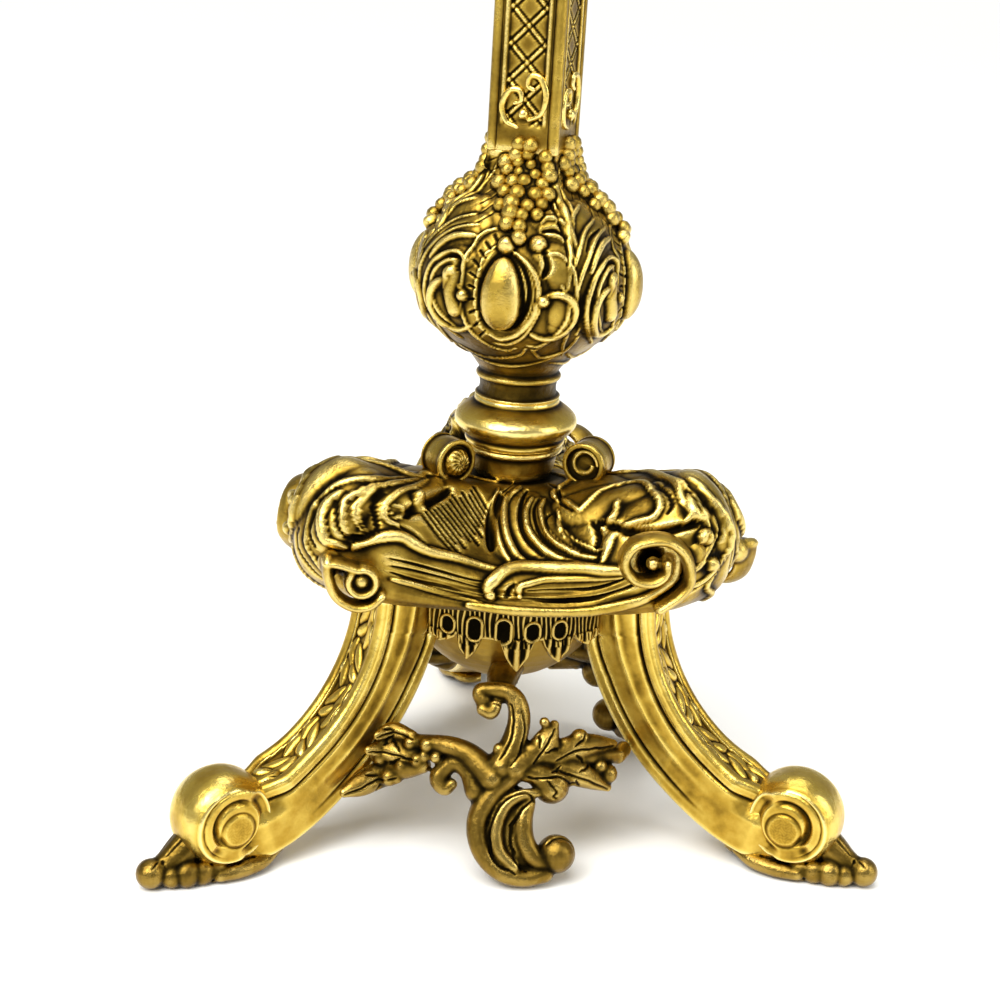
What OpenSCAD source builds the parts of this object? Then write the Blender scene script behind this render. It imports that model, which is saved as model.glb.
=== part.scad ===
// Torchere candle stand: a three-legged cast base, a four-sided chased stem and a lift-off candle nozzle.
// Millimetres, +Z up. The origin is the point of the table under the stem's axis.
// A leg stands behind, at +Y, and the front face looks along -Y.

/* [Legs] */
// Height of the platform's flat underside, which is where the legs end
leg_h = 100; // [90:1:112]
// Thickness of a leg from side to side
leg_w = 21; // [17:0.5:25]
// Distance from the axis to a leg's outer face at its top
leg_top_r = 64.5; // [60:0.5:68]
// Step from a leg's tenon out to its inner face
leg_step = 4.5; // [3:0.5:7]
// Height of the tenon that a leg bears on the hub with
tenon_h = 20; // [18:0.5:22]
// Radius of the long arc on a leg's underside
leg_under_r = 105; // [90:1:130]
// Distance from the axis to the centre of a leg's volute
volute_reach = 125.5; // [118:0.5:134]
// Height of the volute's centre
volute_z = 22.5; // [22:0.5:26]
// Radius of the volute
volute_r = 18; // [16:0.5:19]
// Length of the volute along its own axis
volute_w = 24; // [22:0.5:30]
// Width of the channel down the outer face
channel_w = 10.5; // [8:0.5:12]
// Depth of the channel
channel_d = 1.6; // [0.8:0.1:2.2]
// Radius of the rolled borders beside the channel
border_r = 2.3; // [1.6:0.1:2.5]
// Number of husks down the channel
husks = 8; // [5:1:10]

/* [Feet] */
// Width of a toe pad
pad_w = 19; // [15:0.5:22]
// Distance from the volute's centre to the back of the toe pad
pad_heel = 20; // [18:0.5:24]
// Distance from the volute's centre to the middle of the toe ball
toe_reach = 27.5; // [25:0.5:32]
// Radius of the toe ball
toe_r = 5.8; // [4:0.1:7]

/* [Platform] */
// Distance from the axis to a corner of the platform
corner_r = 92; // [86:1:104]
// Distance from the axis to the middle of the platform's edge
edge_r = 61; // [56:1:68]
// Height of the corner lobes over the underside
lobe_h = 49; // [42:1:56]
// Turn of the lobes from the legs under them
lobe_turn = -4; // [-8:0.5:8]
// Depth of the flutes over the lobes
flute_d = 1.6; // [0.5:0.1:2.4]
// Height of the dome over the underside, where the collar sits
dome_h = 37; // [32:1:40]
// Distance from the axis to the snail volutes on the ridges
snail_r = 31; // [30:0.5:36]
// Radius of a snail volute
snail_size = 8.5; // [6:0.5:9.5]
// Radius of the larger edge scroll
scroll_r = 10; // [8:0.5:12]
// Radius of the balls at the edge scrolls
ball_r = 5; // [3.5:0.5:6]

/* [Aprons, bowl and hub] */
// Outer radius of the aprons, round the axis
apron_r = 45; // [44:0.5:50]
// Thickness of an apron
apron_t = 3; // [2:0.5:4]
// Height of an apron at its middle
apron_h = 27; // [20:1:30]
// Depth of the aprons' lugs, which lie round the hub's neck
lug_in = 6.8; // [6.5:0.1:7.5]
// Wall of the hub behind a leg
hub_wall = 8; // [6:0.5:9]
// Least thickness of the hub's floor
hub_floor = 5; // [4:0.5:8]

/* [Brackets] */
// Distance from the axis to the bracket's top
bracket_r = 49; // [47:0.5:56]
// Drop from the platform's underside to the bracket's top
bracket_drop = 31; // [29:0.5:36]
// Outward slope of the bracket, run over drop
bracket_slope = 0.45; // [0.3:0.01:0.5]
// Sweep of the arms back to the legs, for each millimetre across, squared
bracket_bend = 0.0095; // [0.007:0.0005:0.012]
// Thickness of the main C-scroll
bracket_t = 9.6; // [8:0.2:11]

/* [Stem] */
// Turn of the stem on its base, as its thread left it
stem_turn = -26; // [-45:1:45]
// Height of the socket collar
collar_h = 12.5; // [9:0.5:18]
// Radius of the collar's mouth and of the seam over it
collar_r = 18.7; // [17.5:0.1:20]
// Radius of the ring knop
knop_r = 23.5; // [21:0.5:28]
// Height of the ring knop
knop_h = 19; // [15:0.5:24]
// Radius of the neck under the baluster
neck_r = 14.8; // [13.5:0.1:17]
// Height of the baluster, with its neck
baluster_h = 93.5; // [80:0.5:110]
// Radius of the baluster at its widest
baluster_r = 40.5; // [36:0.5:46]
// Radius of the hollow inside the baluster
hollow_r = 28; // [20:0.5:30]
// Half the width of the shaft across its flats
shaft_a = 13.2; // [12.6:0.1:15]
// Height of the shaft
shaft_h = 210; // [150:1:280]
// Radius of the beads on the shaft's corners
corner_bead_r = 3; // [2.4:0.1:3.4]
// Radius of the shaft's own bore
shaft_bore_r = 9; // [6:0.5:10]

/* [Top] */
// Height of the ring over the shaft
upper_ring_h = 12; // [9:0.5:16]
// Radius of the ring over the shaft
upper_ring_r = 23; // [21:0.5:27]
// Height of the capital
capital_h = 52; // [44:1:64]
// Radius of the capital at its widest
capital_r = 31; // [27:0.5:36]
// Height of the nozzle socket
socket_h = 31; // [30:0.5:38]
// Radius of the nozzle socket
socket_r = 17; // [15:0.5:20]
// Radius of the drip pan
pan_r = 46; // [38:1:56]
// Depth of the drip pan
pan_depth = 5; // [4:0.5:6]
// Thickness of the drip pan
pan_t = 2; // [1.5:0.1:3]
// Height of the candle cup over the pan's floor
cup_h = 56; // [48:1:70]
// Radius of the candle cup at its lip
cup_r = 19; // [17:0.5:23]
// Radius of the candle's bore
candle_r = 11.2; // [10:0.1:12.5]
// Depth of the candle's bore
candle_depth = 28; // [20:1:34]
// Radius of the spigot under the cup
spigot_r = 9.6; // [9.2:0.1:10.5]
// Length of the spigot under the pan
spigot_h = 18; // [12:0.5:18]

/* [Fasteners and fits] */
// Radius of the tie rod
rod_r = 4; // [3:0.5:5]
// Clearance round the tie rod
rod_gap = 0.4; // [0.2:0.05:0.8]
// Radius of a leg screw
leg_screw_r = 2.5; // [2:0.25:3]
// Radius of a small screw or rivet
small_r = 1.5; // [1.2:0.1:1.8]
// Clearance round a screw or rivet
screw_gap = 0.1; // [0.05:0.05:0.2]
// Gap between castings that stand side by side
side_gap = 0.3; // [0.2:0.05:0.5]
// Clearance round the lift-off spigot
spigot_gap = 0.3; // [0.15:0.05:0.5]

/* [Hidden] */
$fn = 64;
gilt = "goldenrod";
gilt_dark = "darkgoldenrod";
steel = "silver";

// Directions of the legs and of the faces between them, front first
leg_dirs = [210, 330, 90];
face_dirs = [270, 30, 150];
faces_of_stem = 4;

// Levels, from the table up
hub_z = leg_h - tenon_h;
dome_z = leg_h + dome_h;
seam_z = dome_z + collar_h;
knop_top = seam_z + knop_h;
shaft_z = knop_top + baluster_h;
shaft_top = shaft_z + shaft_h;
capital_z = shaft_top + upper_ring_h;
socket_z = capital_z + capital_h;
socket_top = socket_z + socket_h;
rest_gap = 0.3;
pan_z = socket_top + rest_gap;
cup_z = pan_z + pan_t;
cup_top = cup_z + cup_h;

// Hub and tie rod
lug_t = 3;
bowl_r = apron_r - apron_t - side_gap;
bowl_rim = leg_h - lug_t - side_gap;
hub_r = bowl_r - lug_in;
hub_flat = hub_r - 2;
cavity_r = hub_flat - hub_wall;
cavity_floor = bowl_rim - sqrt(bowl_r * bowl_r - cavity_r * cavity_r) + hub_floor;
leg_back_r = hub_flat + leg_step;
washer_r = 9;
washer_t = 1.6;
nut_r = 7.5;
nut_h = 6.5;
rod_tail = 3;
bowl_seat = bowl_rim - sqrt(bowl_r * bowl_r - (washer_r + 1) * (washer_r + 1));
rod_bottom = bowl_seat - washer_t - nut_h - rod_tail;
rod_hole = rod_r + rod_gap;
socket_floor = 3;
rod_top = socket_z + socket_floor + washer_t + nut_h - 1;

// Leg screws: two in each leg, side by side
leg_screw_z = (hub_z + leg_h) / 2;
leg_head_r = leg_screw_r + 1.5;
leg_head_t = 3;
leg_screw_y = leg_head_r + 1.2;
leg_head_out = sqrt(cavity_r * cavity_r - pow(leg_screw_y + leg_head_r, 2)) - 0.1;
leg_screw_end = hub_flat + 12;

// Leg outline: the outer arc starts upright at the top and ends on the volute
volute_join = 142;
join_x = volute_reach + volute_r * cos(volute_join);
join_z = volute_z + volute_r * sin(volute_join);
outer_dx = join_x - leg_top_r;
outer_dz = leg_h - join_z;
outer_r = (outer_dx * outer_dx + outer_dz * outer_dz) / (2 * outer_dx);
outer_cx = leg_top_r + outer_r;
outer_end = atan2(outer_dz, outer_cx - join_x);
heel_x = volute_reach - volute_r * 0.86;
heel_z = volute_z - volute_r + 1;
arc_steps = 24;

// Points of the arc of radius r from p to q that bulges to the left of the way from p to q
function arc_points(p, q, r, n) =
  let (
    m = (p + q) / 2,
    d = q - p,
    len = norm(d),
    c = m + sqrt(r * r - len * len / 4) * [-d.y, d.x] / len,
    a0 = atan2(p.y - c.y, p.x - c.x),
    a1 = atan2(q.y - c.y, q.x - c.x)
  )
  [for (i = [0:n]) let (a = a0 + (a1 - a0) * i / n) c + r * [cos(a), sin(a)]];

// Points of the leg's outer arc, moved inward by inset, between two shares of its sweep
function outer_points(inset, from, to) =
  [for (i = [0:arc_steps])
    let (a = 180 + outer_end * (from + (to - from) * i / arc_steps))
    [outer_cx + (outer_r + inset) * cos(a), leg_h + (outer_r + inset) * sin(a)]];

under_start = [leg_back_r, hub_z];
under_end = [heel_x, heel_z];

module leg_outline() {
  polygon(concat(
    [[hub_flat, leg_h]],
    outer_points(0, 0, 1),
    [[volute_reach, volute_z]],
    [for (i = [arc_steps:-1:0]) arc_points(under_start, under_end, leg_under_r, arc_steps)[i]],
    [[hub_flat, hub_z]]
  ));
}

// A flat shape drawn in distance and height, made thick and centred on a leg's own plane
module upright(thick) {
  rotate([90, 0, 0]) translate([0, 0, -thick / 2]) linear_extrude(thick) children();
}

// The groove that winds into a volute's side
function spiral_point(a, r0, r1, turns, w) =
  let (s = a / (360 * turns), r = r0 + (r1 - r0) * s + w) [r * cos(a), r * sin(a)];
module spiral_band(r0, r1, turns, width, start) {
  steps = 40;
  rotate(start) polygon(concat(
    [for (i = [0:steps]) spiral_point(360 * turns * i / steps, r0, r1, turns, width / 2)],
    [for (i = [steps:-1:0]) spiral_point(360 * turns * i / steps, r0, r1, turns, -width / 2)]
  ));
}

groove_d = 1.2;
boss_r = 4.4;
barrel = 0.14;
module volute() {
  translate([volute_reach, 0, volute_z]) {
    difference() {
      // The rim swells in the middle, as a rolled-up leaf does
      rotate([90, 0, 0]) rotate_extrude() polygon(concat(
        [[0, -volute_w / 2]],
        [for (i = [-4:4]) [volute_r * (1 - barrel * pow(abs(i) / 4, 2.4)), i * volute_w / 8]],
        [[0, volute_w / 2]]
      ));
      for (s = [-1, 1])
        translate([0, s * (volute_w / 2), 0]) upright(2 * groove_d)
          spiral_band(volute_r * (1 - barrel) - 2.2, boss_r + 2, 1.25, 2.2, 150);
    }
    rotate([90, 0, 0]) cylinder(r = boss_r, h = volute_w + 1.6, center = true);
  }
}

// What is drawn in the arc's own section: out from its centre, and across the leg
module along_arc(from, to) {
  translate([outer_cx, 0, leg_h]) rotate([90, 0, 0]) rotate([0, 0, 180 + outer_end * from])
    rotate_extrude(angle = outer_end * (to - from)) children();
}
border_y = leg_w / 2 - border_r - 0.1;
border_in = 1.9;
moulding_at = [5.4, 11.4];
moulding_w = 1.3;
moulding_d = 0.9;
module leg() {
  color(gilt) difference() {
    union() {
      difference() {
        upright(leg_w) leg_outline();
        for (s = [-1, 1]) {
          along_arc(-0.1, 1.02)
            translate([outer_r - 3, s * (leg_w / 2 + 1) - 1 - border_r / 2 * (1 + s)])
              square([3 + border_in, 2 + border_r]);
          for (m = moulding_at) along_arc(-0.1, 0.94)
            translate([outer_r + m, s * leg_w / 2 - moulding_d]) square([moulding_w, 2 * moulding_d]);
        }
      }
      for (s = [-1, 1]) along_arc(0, 0.985)
        translate([outer_r + border_in, s * border_y]) circle(r = border_r);
      volute();
    }
    along_arc(0.04, 0.93) translate([outer_r - 2, -channel_w / 2]) square([2 + channel_d, channel_w]);
    leg_screw_holes();
    foot_screw_hole();
    for (s = [-1, 1]) rivet_hole_in_leg(s);
  }
  // A chain of husks hangs down the channel
  color(gilt) for (i = [0:husks - 1]) translate([outer_cx, 0, leg_h]) rotate([90, 0, 0])
    rotate([0, 0, 180 + outer_end * (0.07 + 0.84 * i / husks)]) translate([outer_r + channel_d + 0.4, 0, 0])
      rotate([-90, 0, 0]) cylinder(r1 = channel_w * 0.27, r2 = channel_w * 0.08, h = 7);
}
module leg_at(i) {
  rotate(leg_dirs[i]) leg();
}
module leg_front_left() {
  leg_at(0);
}
module leg_front_right() {
  leg_at(1);
}
module leg_rear() {
  leg_at(2);
}

module leg_screw_holes() {
  for (s = [-1, 1]) translate([0, s * leg_screw_y, leg_screw_z]) rotate([0, 90, 0])
    cylinder(r = leg_screw_r + screw_gap, h = leg_screw_end + 0.5);
}

// Foot: a boat-shaped pad under the volute, two leaflets and a toe ball
pad_back = volute_reach - pad_heel;
pad_front = volute_reach + toe_reach - toe_r * 0.7;
pad_top = volute_z - volute_r * 0.62;
foot_head_r = small_r + 1.6;
foot_head_t = 1.6;
foot_screw_end = volute_z - volute_r + 9;
module foot_outline() {
  polygon([
    [pad_back, pad_top - 3], [pad_back + 1.2, 3], [pad_back + 4.5, 0],
    [volute_reach + volute_r * 0.62, 0], [volute_reach + volute_r * 0.9, 1], [pad_front, 2.4],
    [pad_front, 6.5], [volute_reach + volute_r, pad_top], [pad_back + 1, pad_top]
  ]);
}
leaflet_fn = 10;
leaflet_root_r = 3.6;
leaflet_tip_r = 1.8;
leaf_root_r = 5.4;
leaf_tip_r = 3.8;
module leaflet(side) {
  hull() {
    translate([volute_reach + volute_r * 0.72, side * pad_w * 0.28, leaflet_root_r + 1])
      sphere(r = leaflet_root_r, $fn = leaflet_fn);
    translate([pad_front + 1.5, side * pad_w * 0.34, leaflet_tip_r + 0.4])
      sphere(r = leaflet_tip_r, $fn = leaflet_fn);
  }
}
module toe_leaf() {
  hull() {
    translate([volute_reach + volute_r * 0.86, 0, volute_r / 2]) sphere(r = leaf_root_r, $fn = leaflet_fn);
    translate([volute_reach + toe_reach - toe_r, 0, toe_r]) sphere(r = leaf_tip_r, $fn = leaflet_fn);
  }
}
module foot() {
  color(gilt) difference() {
    union() {
      upright(pad_w) foot_outline();
      for (side = [-1, 1]) leaflet(side);
      toe_leaf();
      translate([volute_reach + toe_reach, 0, toe_r + 0.2]) sphere(r = toe_r);
    }
    translate([volute_reach, 0, volute_z]) rotate([90, 0, 0])
      cylinder(r = volute_r + side_gap, h = 2 * volute_w, center = true);
    translate([0, 0, -side_gap]) upright(2 * pad_w) leg_outline();
    foot_screw_hole();
    translate([volute_reach, 0, -1]) cylinder(r = foot_head_r + screw_gap, h = foot_head_t + 1.5);
  }
}
module foot_at(i) {
  rotate(leg_dirs[i]) foot();
}
module foot_front_left() {
  foot_at(0);
}
module foot_front_right() {
  foot_at(1);
}
module foot_rear() {
  foot_at(2);
}
module foot_screw_hole() {
  translate([volute_reach, 0, -1]) cylinder(r = small_r + screw_gap, h = foot_screw_end + 1.5);
}

// Hub: the bowl that closes the underside. The legs are screwed to flats on its neck from inside.
bowl_steps = 14;
module hub_bowl() {
  seat_turn = acos((washer_r + 1) / bowl_r);
  color(gilt_dark) difference() {
    rotate_extrude() polygon(concat(
      [[0, leg_h], [hub_r, leg_h], [hub_r, bowl_rim]],
      [for (i = [0:bowl_steps]) let (a = seat_turn * i / bowl_steps)
        [bowl_r * cos(a), bowl_rim - bowl_r * sin(a)]],
      [[0, bowl_seat]]
    ));
    translate([0, 0, bowl_seat - 1]) cylinder(r = rod_hole, h = leg_h);
    translate([0, 0, cavity_floor]) cylinder(r = cavity_r, h = leg_h);
    for (a = leg_dirs) rotate(a) {
      translate([leg_back_r - side_gap, -leg_w / 2 - side_gap, 0])
        cube([bowl_r, leg_w + 2 * side_gap, 2 * leg_h]);
      translate([hub_flat, -leg_w / 2 - side_gap, hub_z - side_gap])
        cube([bowl_r, leg_w + 2 * side_gap, leg_h]);
      leg_screw_holes();
    }
  }
}

// Platform: one casting, lofted between a low edge in the middle of each face and a high lobed corner.
// Each profile is a list of distance and height over the underside.
edge_line = [
  [edge_r - 10, 0], [edge_r - 3, 1.2], [edge_r + 0.2, 3.2], [edge_r + 0.4, 5],
  [edge_r - 1.6, 6.6], [edge_r - 1.2, 8.4], [edge_r - 2.2, 9.2], [edge_r - 1.4, 11.2],
  [edge_r - 2, 13.4], [edge_r - 5, 15.8], [edge_r - 10, 18.2], [edge_r - 17, 21.8],
  [edge_r - 24, 26], [edge_r - 31, 30.4], [edge_r - 37, dome_h - 2.4],
  [collar_r + 1.5, dome_h], [collar_r - 3.5, dome_h]
];
corner_line = [
  [corner_r - 19, 0], [corner_r - 11, lobe_h * 0.06], [corner_r - 5, lobe_h * 0.16],
  [corner_r - 2.4, lobe_h * 0.25], [corner_r - 0.9, lobe_h * 0.34], [corner_r - 0.2, lobe_h * 0.43],
  [corner_r, lobe_h * 0.53],
  [corner_r - 1, lobe_h * 0.65], [corner_r - 3.4, lobe_h * 0.77], [corner_r - 7.4, lobe_h * 0.88],
  [corner_r - 12.5, lobe_h * 0.955], [corner_r - 19, lobe_h], [corner_r - 28, lobe_h * 0.95],
  [corner_r - 40, lobe_h * 0.89], [corner_r - 51, lobe_h * 0.88], [snail_r - 4, dome_h + 3],
  [collar_r - 3.5, dome_h]
];
loft_around = 120;
lobe_power = 1.6;
lobe_0 = leg_dirs[0] + lobe_turn;
function corner_share(a) = pow((1 + cos(3 * (a - lobe_0))) / 2, lobe_power);
// Flutes run up over the corner lobes, ten to each third
flutes = 30;
function flute(a, k) =
  k > 11 ? 0 : flute_d * corner_share(a) * sin(180 * k / 12) * cos(flutes * (a - lobe_0));
function loft_point(a, k) =
  let (
    w = corner_share(a),
    p = edge_line[k] * (1 - w) + corner_line[k] * w,
    r = p.x + flute(a, k)
  )
  [r * cos(a), r * sin(a), leg_h + p.y];
loft_rings = len(edge_line);
module loft() {
  ring_points = [for (k = [0:loft_rings - 1], i = [0:loft_around - 1]) loft_point(360 * i / loft_around, k)];
  base = len(ring_points);
  ends = [[0, 0, leg_h], [0, 0, dome_z]];
  function at(k, i) = k * loft_around + i % loft_around;
  polyhedron(
    points = concat(ring_points, ends),
    faces = concat(
      [for (i = [0:loft_around - 1]) [base, at(0, i), at(0, i + 1)]],
      [for (k = [0:loft_rings - 2], i = [0:loft_around - 1]) [at(k, i), at(k + 1, i), at(k, i + 1)]],
      [for (k = [0:loft_rings - 2], i = [0:loft_around - 1]) [at(k, i + 1), at(k + 1, i), at(k + 1, i + 1)]],
      [for (i = [0:loft_around - 1]) [base + 1, at(loft_rings - 1, i + 1), at(loft_rings - 1, i)]]
    )
  );
}

// Edge scrolls and their balls, left and right on a face, and the snail volutes on the ridges
snail_w = 13;
snail_z = dome_z + snail_size + 1.5;
module snail() {
  translate([snail_r, 0, snail_z]) rotate([90, 0, 0]) difference() {
    union() {
      cylinder(r = snail_size, h = snail_w, center = true);
      translate([0, 0, -snail_w / 2 + 3]) sphere(r = snail_size * 0.62);
    }
    translate([0, 0, snail_w / 2 - 2]) cylinder(r = snail_size - 2, h = 3);
    translate([0, 0, -snail_w / 2]) rotate_extrude() translate([snail_size - 2.6, -3]) square([1.2, 4.4]);
  }
}
left_scroll = [-0.98 * edge_r, 0.99 * edge_r, 14];
right_scroll = [0.74 * edge_r, 0.96 * edge_r, 22];
scroll_w = 12;
module edge_scroll(at, r) {
  translate([at.x, -at.y, leg_h + at.z]) rotate([90, 0, 0]) difference() {
    cylinder(r = r, h = scroll_w, center = true);
    translate([0, 0, scroll_w / 2 - 1.5]) rotate_extrude() translate([r * 0.6, 0]) square([r * 0.16, 3]);
    translate([0, 0, scroll_w / 2 - 1.5]) cylinder(r = r * 0.42, h = 3);
  }
}
module edge_ball(at) {
  translate([at.x, -at.y, leg_h + at.z]) sphere(r = ball_r);
}
module platform() {
  color(gilt) difference() {
    union() {
      loft();
      for (a = leg_dirs) rotate(a) snail();
      for (a = face_dirs) rotate(a + 90) {
        edge_scroll(left_scroll, scroll_r * 0.9);
        edge_scroll(right_scroll, scroll_r);
        edge_ball([left_scroll.x - scroll_r * 1.1, left_scroll.y - 6, left_scroll.z + 5]);
        edge_ball([right_scroll.x + scroll_r * 1.5, right_scroll.y + 1, right_scroll.z + 5]);
      }
    }
    translate([0, 0, leg_h - 1]) cylinder(r = rod_hole, h = dome_h + 4);
    translate([0, 0, dome_z]) cylinder(r1 = collar_r - 2, r2 = collar_r + 1, h = collar_h);
    for (a = face_dirs) rotate(a) for (s = [-1, 1]) apron_screw_hole(s);
  }
}

// Aprons: three panels of one drum, cut off beside the legs and with a hanging fringe
lug_w = 9;
lug_turn = 26;
apron_screw_end = leg_h + 6;
apron_head_t = 1.6;
apron_head_r = small_r + 1.2;
apron_lug_r = apron_r - apron_t - lug_in / 2;
// Ovals, from left to right: how much longer than wide each is
oval_long = [0.6, 1.8, 2.1, 0.9, 0.7];
oval_turn = 14;
oval_shift = -7;
oval_r = 2.4;
oval_z = leg_h - 11.5;
// Fringe leaves, from left to right: middle, half-width and length below the notches
fringe = [[-39, 8, 0.25], [-24, 6, 0.7], [0, 8, 1], [21, 8, 0.75], [39, 8, 0.35]];
fringe_h = 11;
notch_z = leg_h - apron_h + fringe_h;
fringe_steps = 6;
module apron_window() {
  // Drawn flat, across and up, as seen from outside
  half = apron_r * sin(60);
  polygon(concat(
    [[-half, leg_h + 1], [-half, notch_z + 1]],
    [for (f = fringe, i = [0:fringe_steps])
      let (u = i / fringe_steps * 2 - 1, a = f[0] + f[1] * u)
      [apron_r * sin(a), notch_z - fringe_h * f[2] * pow(1 - u * u, 0.7)]],
    [[half, notch_z + 1], [half, leg_h + 1]]
  ));
}
module ring(ro, ri, h) {
  difference() {
    cylinder(r = ro, h = h);
    translate([0, 0, -1]) cylinder(r = ri, h = h + 2);
  }
}
module oval(i, grow, h) {
  rotate((i - (len(oval_long) - 1) / 2) * oval_turn + oval_shift)
    translate([apron_r - apron_t / 2, 0, oval_z]) rotate([0, 90, 0]) linear_extrude(h) union() {
      for (s = [-1, 1]) translate([s * oval_long[i], 0]) circle(r = oval_r + grow, $fn = 32);
      square([2 * oval_long[i], 2 * (oval_r + grow)], center = true);
    }
}
module apron() {
  color(gilt_dark) difference() {
    union() {
      intersection() {
        translate([0, 0, leg_h - apron_h]) ring(apron_r, apron_r - apron_t, apron_h);
        rotate([90, 0, 90]) linear_extrude(2 * apron_r) apron_window();
      }
      for (i = [0:len(oval_long) - 1]) oval(i, 0.8, apron_t / 2 + 0.7);
      for (s = [-1, 1]) rotate(s * lug_turn)
        translate([apron_r - apron_t - lug_in, -lug_w / 2, leg_h - lug_t]) cube([lug_in + 1, lug_w, lug_t]);
    }
    for (i = [0:len(oval_long) - 1]) oval(i, 0, apron_t);
    for (s = [-1, 1]) {
      apron_screw_hole(s);
      rotate(s * lug_turn) translate([apron_lug_r, 0, leg_h - lug_t - 1])
        cylinder(r = apron_head_r + screw_gap, h = apron_head_t + 1.2);
      rotate(s * 60) translate([0, -leg_w / 2 - side_gap, 0])
        cube([2 * apron_r, leg_w + 2 * side_gap, 2 * leg_h]);
    }
  }
}
module apron_screw_hole(s) {
  rotate(s * lug_turn) translate([apron_lug_r, 0, leg_h - lug_t - 1])
    cylinder(r = small_r + screw_gap, h = apron_screw_end - leg_h + lug_t + 1.5);
}
module apron_front() {
  rotate(face_dirs[0]) apron();
}
module apron_right() {
  rotate(face_dirs[1]) apron();
}
module apron_left() {
  rotate(face_dirs[2]) apron();
}

// Brackets: drawn across and up in a face, laid on a sloped sheet whose arms sweep back to the legs.
// Every strand is a list of [across, up, radius].
bracket_top = leg_h - bracket_drop;
bracket_k = bracket_top / 69;
swell = bracket_t / 8.6 * max(1, bracket_k);
arm_stand = 2;
leg_side = leg_w / 2 + side_gap;
function on_bracket(p, lift = 0) =
  let (
    z = p.y * bracket_k,
    sheet = bracket_r + (bracket_top - z) * bracket_slope - bracket_bend * p.x * p.x,
    beside = (leg_side + arm_stand + abs(p.x) / 2) / cos(30)
  )
  [max(sheet, beside) + lift, p.x, z];
fine = 8;
coarse = 6;
module knob(p, lift = 0, fn = fine) {
  translate(on_bracket([p[0], p[1]], lift)) sphere(r = p[2] * swell, $fn = fn);
}
module strand(points, lift = 0, fn = fine) {
  for (i = [0:len(points) - 2]) hull() {
    knob(points[i], lift, fn);
    knob(points[i + 1], lift, fn);
  }
}
hook = [[-12, 63, 3], [-13.5, 66, 2.8], [-9, 67, 2.8], [-3, 66.5, 3], [0.5, 62.5, 3.6],
  [1, 56, 4], [-1.5, 48.5, 4.4], [-5.5, 41.5, 5.4]];
outer_c = [[14.5, 32.5, 3.9], [9, 37.5, 3.3], [2, 39.5, 3.7], [-5, 36, 4.4], [-11, 29.5, 4.5],
  [-14, 22, 4.2], [-13, 14.5, 4], [-9, 9, 3.8], [-3, 5.5, 3.5], [4, 4.5, 3.2], [11, 5.5, 3.4]];
middle_c = [[7.5, 32.5, 2.2], [1, 32, 2.6], [-4.5, 28.5, 2.8], [-7, 22, 2.8], [-6, 14.5, 2.8], [-1, 9, 2.6]];
inner_c = [[4, 30, 3.4], [3.5, 24, 4.2], [4, 17, 4.2], [7.5, 11, 4.2], [14, 9, 4.4]];
web = [[1, 30, 4], [-2, 22, 4.4], [0, 12, 4.4], [7, 7, 3]];
c_ball = [15.5, 11.5, 6.4];
left_stem = [[-11, 38.5, 4.8], [-17, 44, 3.9], [-24, 46, 3.2], [-31, 45.5, 2.8], [-38, 44, 2.6],
  [-44, 42, 2.4], [-50, 38, 2.6]];
left_curl = [[-14.5, 32.5, 3], [-17, 38.5, 2.7], [-21.5, 41.5, 2.4], [-25.5, 39.5, 2.2], [-30, 37, 3],
  [-31, 33.5, 3.2]];
left_lobe = [[-19, 34.5, 2.4], [-25, 36.5, 2]];
left_mass = [[-34, 37, 3], [-41, 33, 3.4], [-48, 33, 3]];
right_stem = [[-1, 41.5, 4.8], [7, 45, 3.9], [17, 43.5, 3.5], [29, 42, 2.9], [41, 39, 2.6]];
leaves = [
  [[-38, 39, 2.2], [-45, 39, 3.2], [-54, 41, 1]],
  [[-46, 29, 2.4], [-55, 27.5, 3.7], [-64, 26, 1]],
  [[6.5, 48, 3], [14, 50.5, 5.2], [16, 56, 2.2]],
  [[17, 45, 2.6], [29, 46.5, 4.3], [42, 44, 1]],
  [[18, 40.5, 3], [26, 36.5, 3.5], [38, 29, 1]]
];
// Berries, and the bud and bump at the right
berries = [[-38.5, 44.5, 2.3], [-32.5, 45.5, 2.4], [-36, 39.5, 2.4], [-46, 30.5, 2.8], [-6.5, 48, 2],
  [-10.5, 42.5, 2], [36.5, 35, 3], [24.5, 50, 3]];
// Foot of the lug that a rivet holds to the leg's side face, left and right
lug_at = [[-50, 37], [41, 39]];
rivet_lug_r = 3.2;
rivet_in = 6;
function side_normal(s) = [cos(30), s * sin(30), 0];
function lug_side(i) = sign(lug_at[i].x);
function lug_len(i) = on_bracket(lug_at[i]) * side_normal(-lug_side(i)) - leg_side;
function lug_foot(i) = on_bracket(lug_at[i]) - side_normal(-lug_side(i)) * lug_len(i);
module rivet_axis(i, from, len, r) {
  translate(lug_foot(i)) rotate(-lug_side(i) * 30) rotate([0, 90, 0]) translate([0, 0, from])
    cylinder(r = r, h = len);
}
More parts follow.
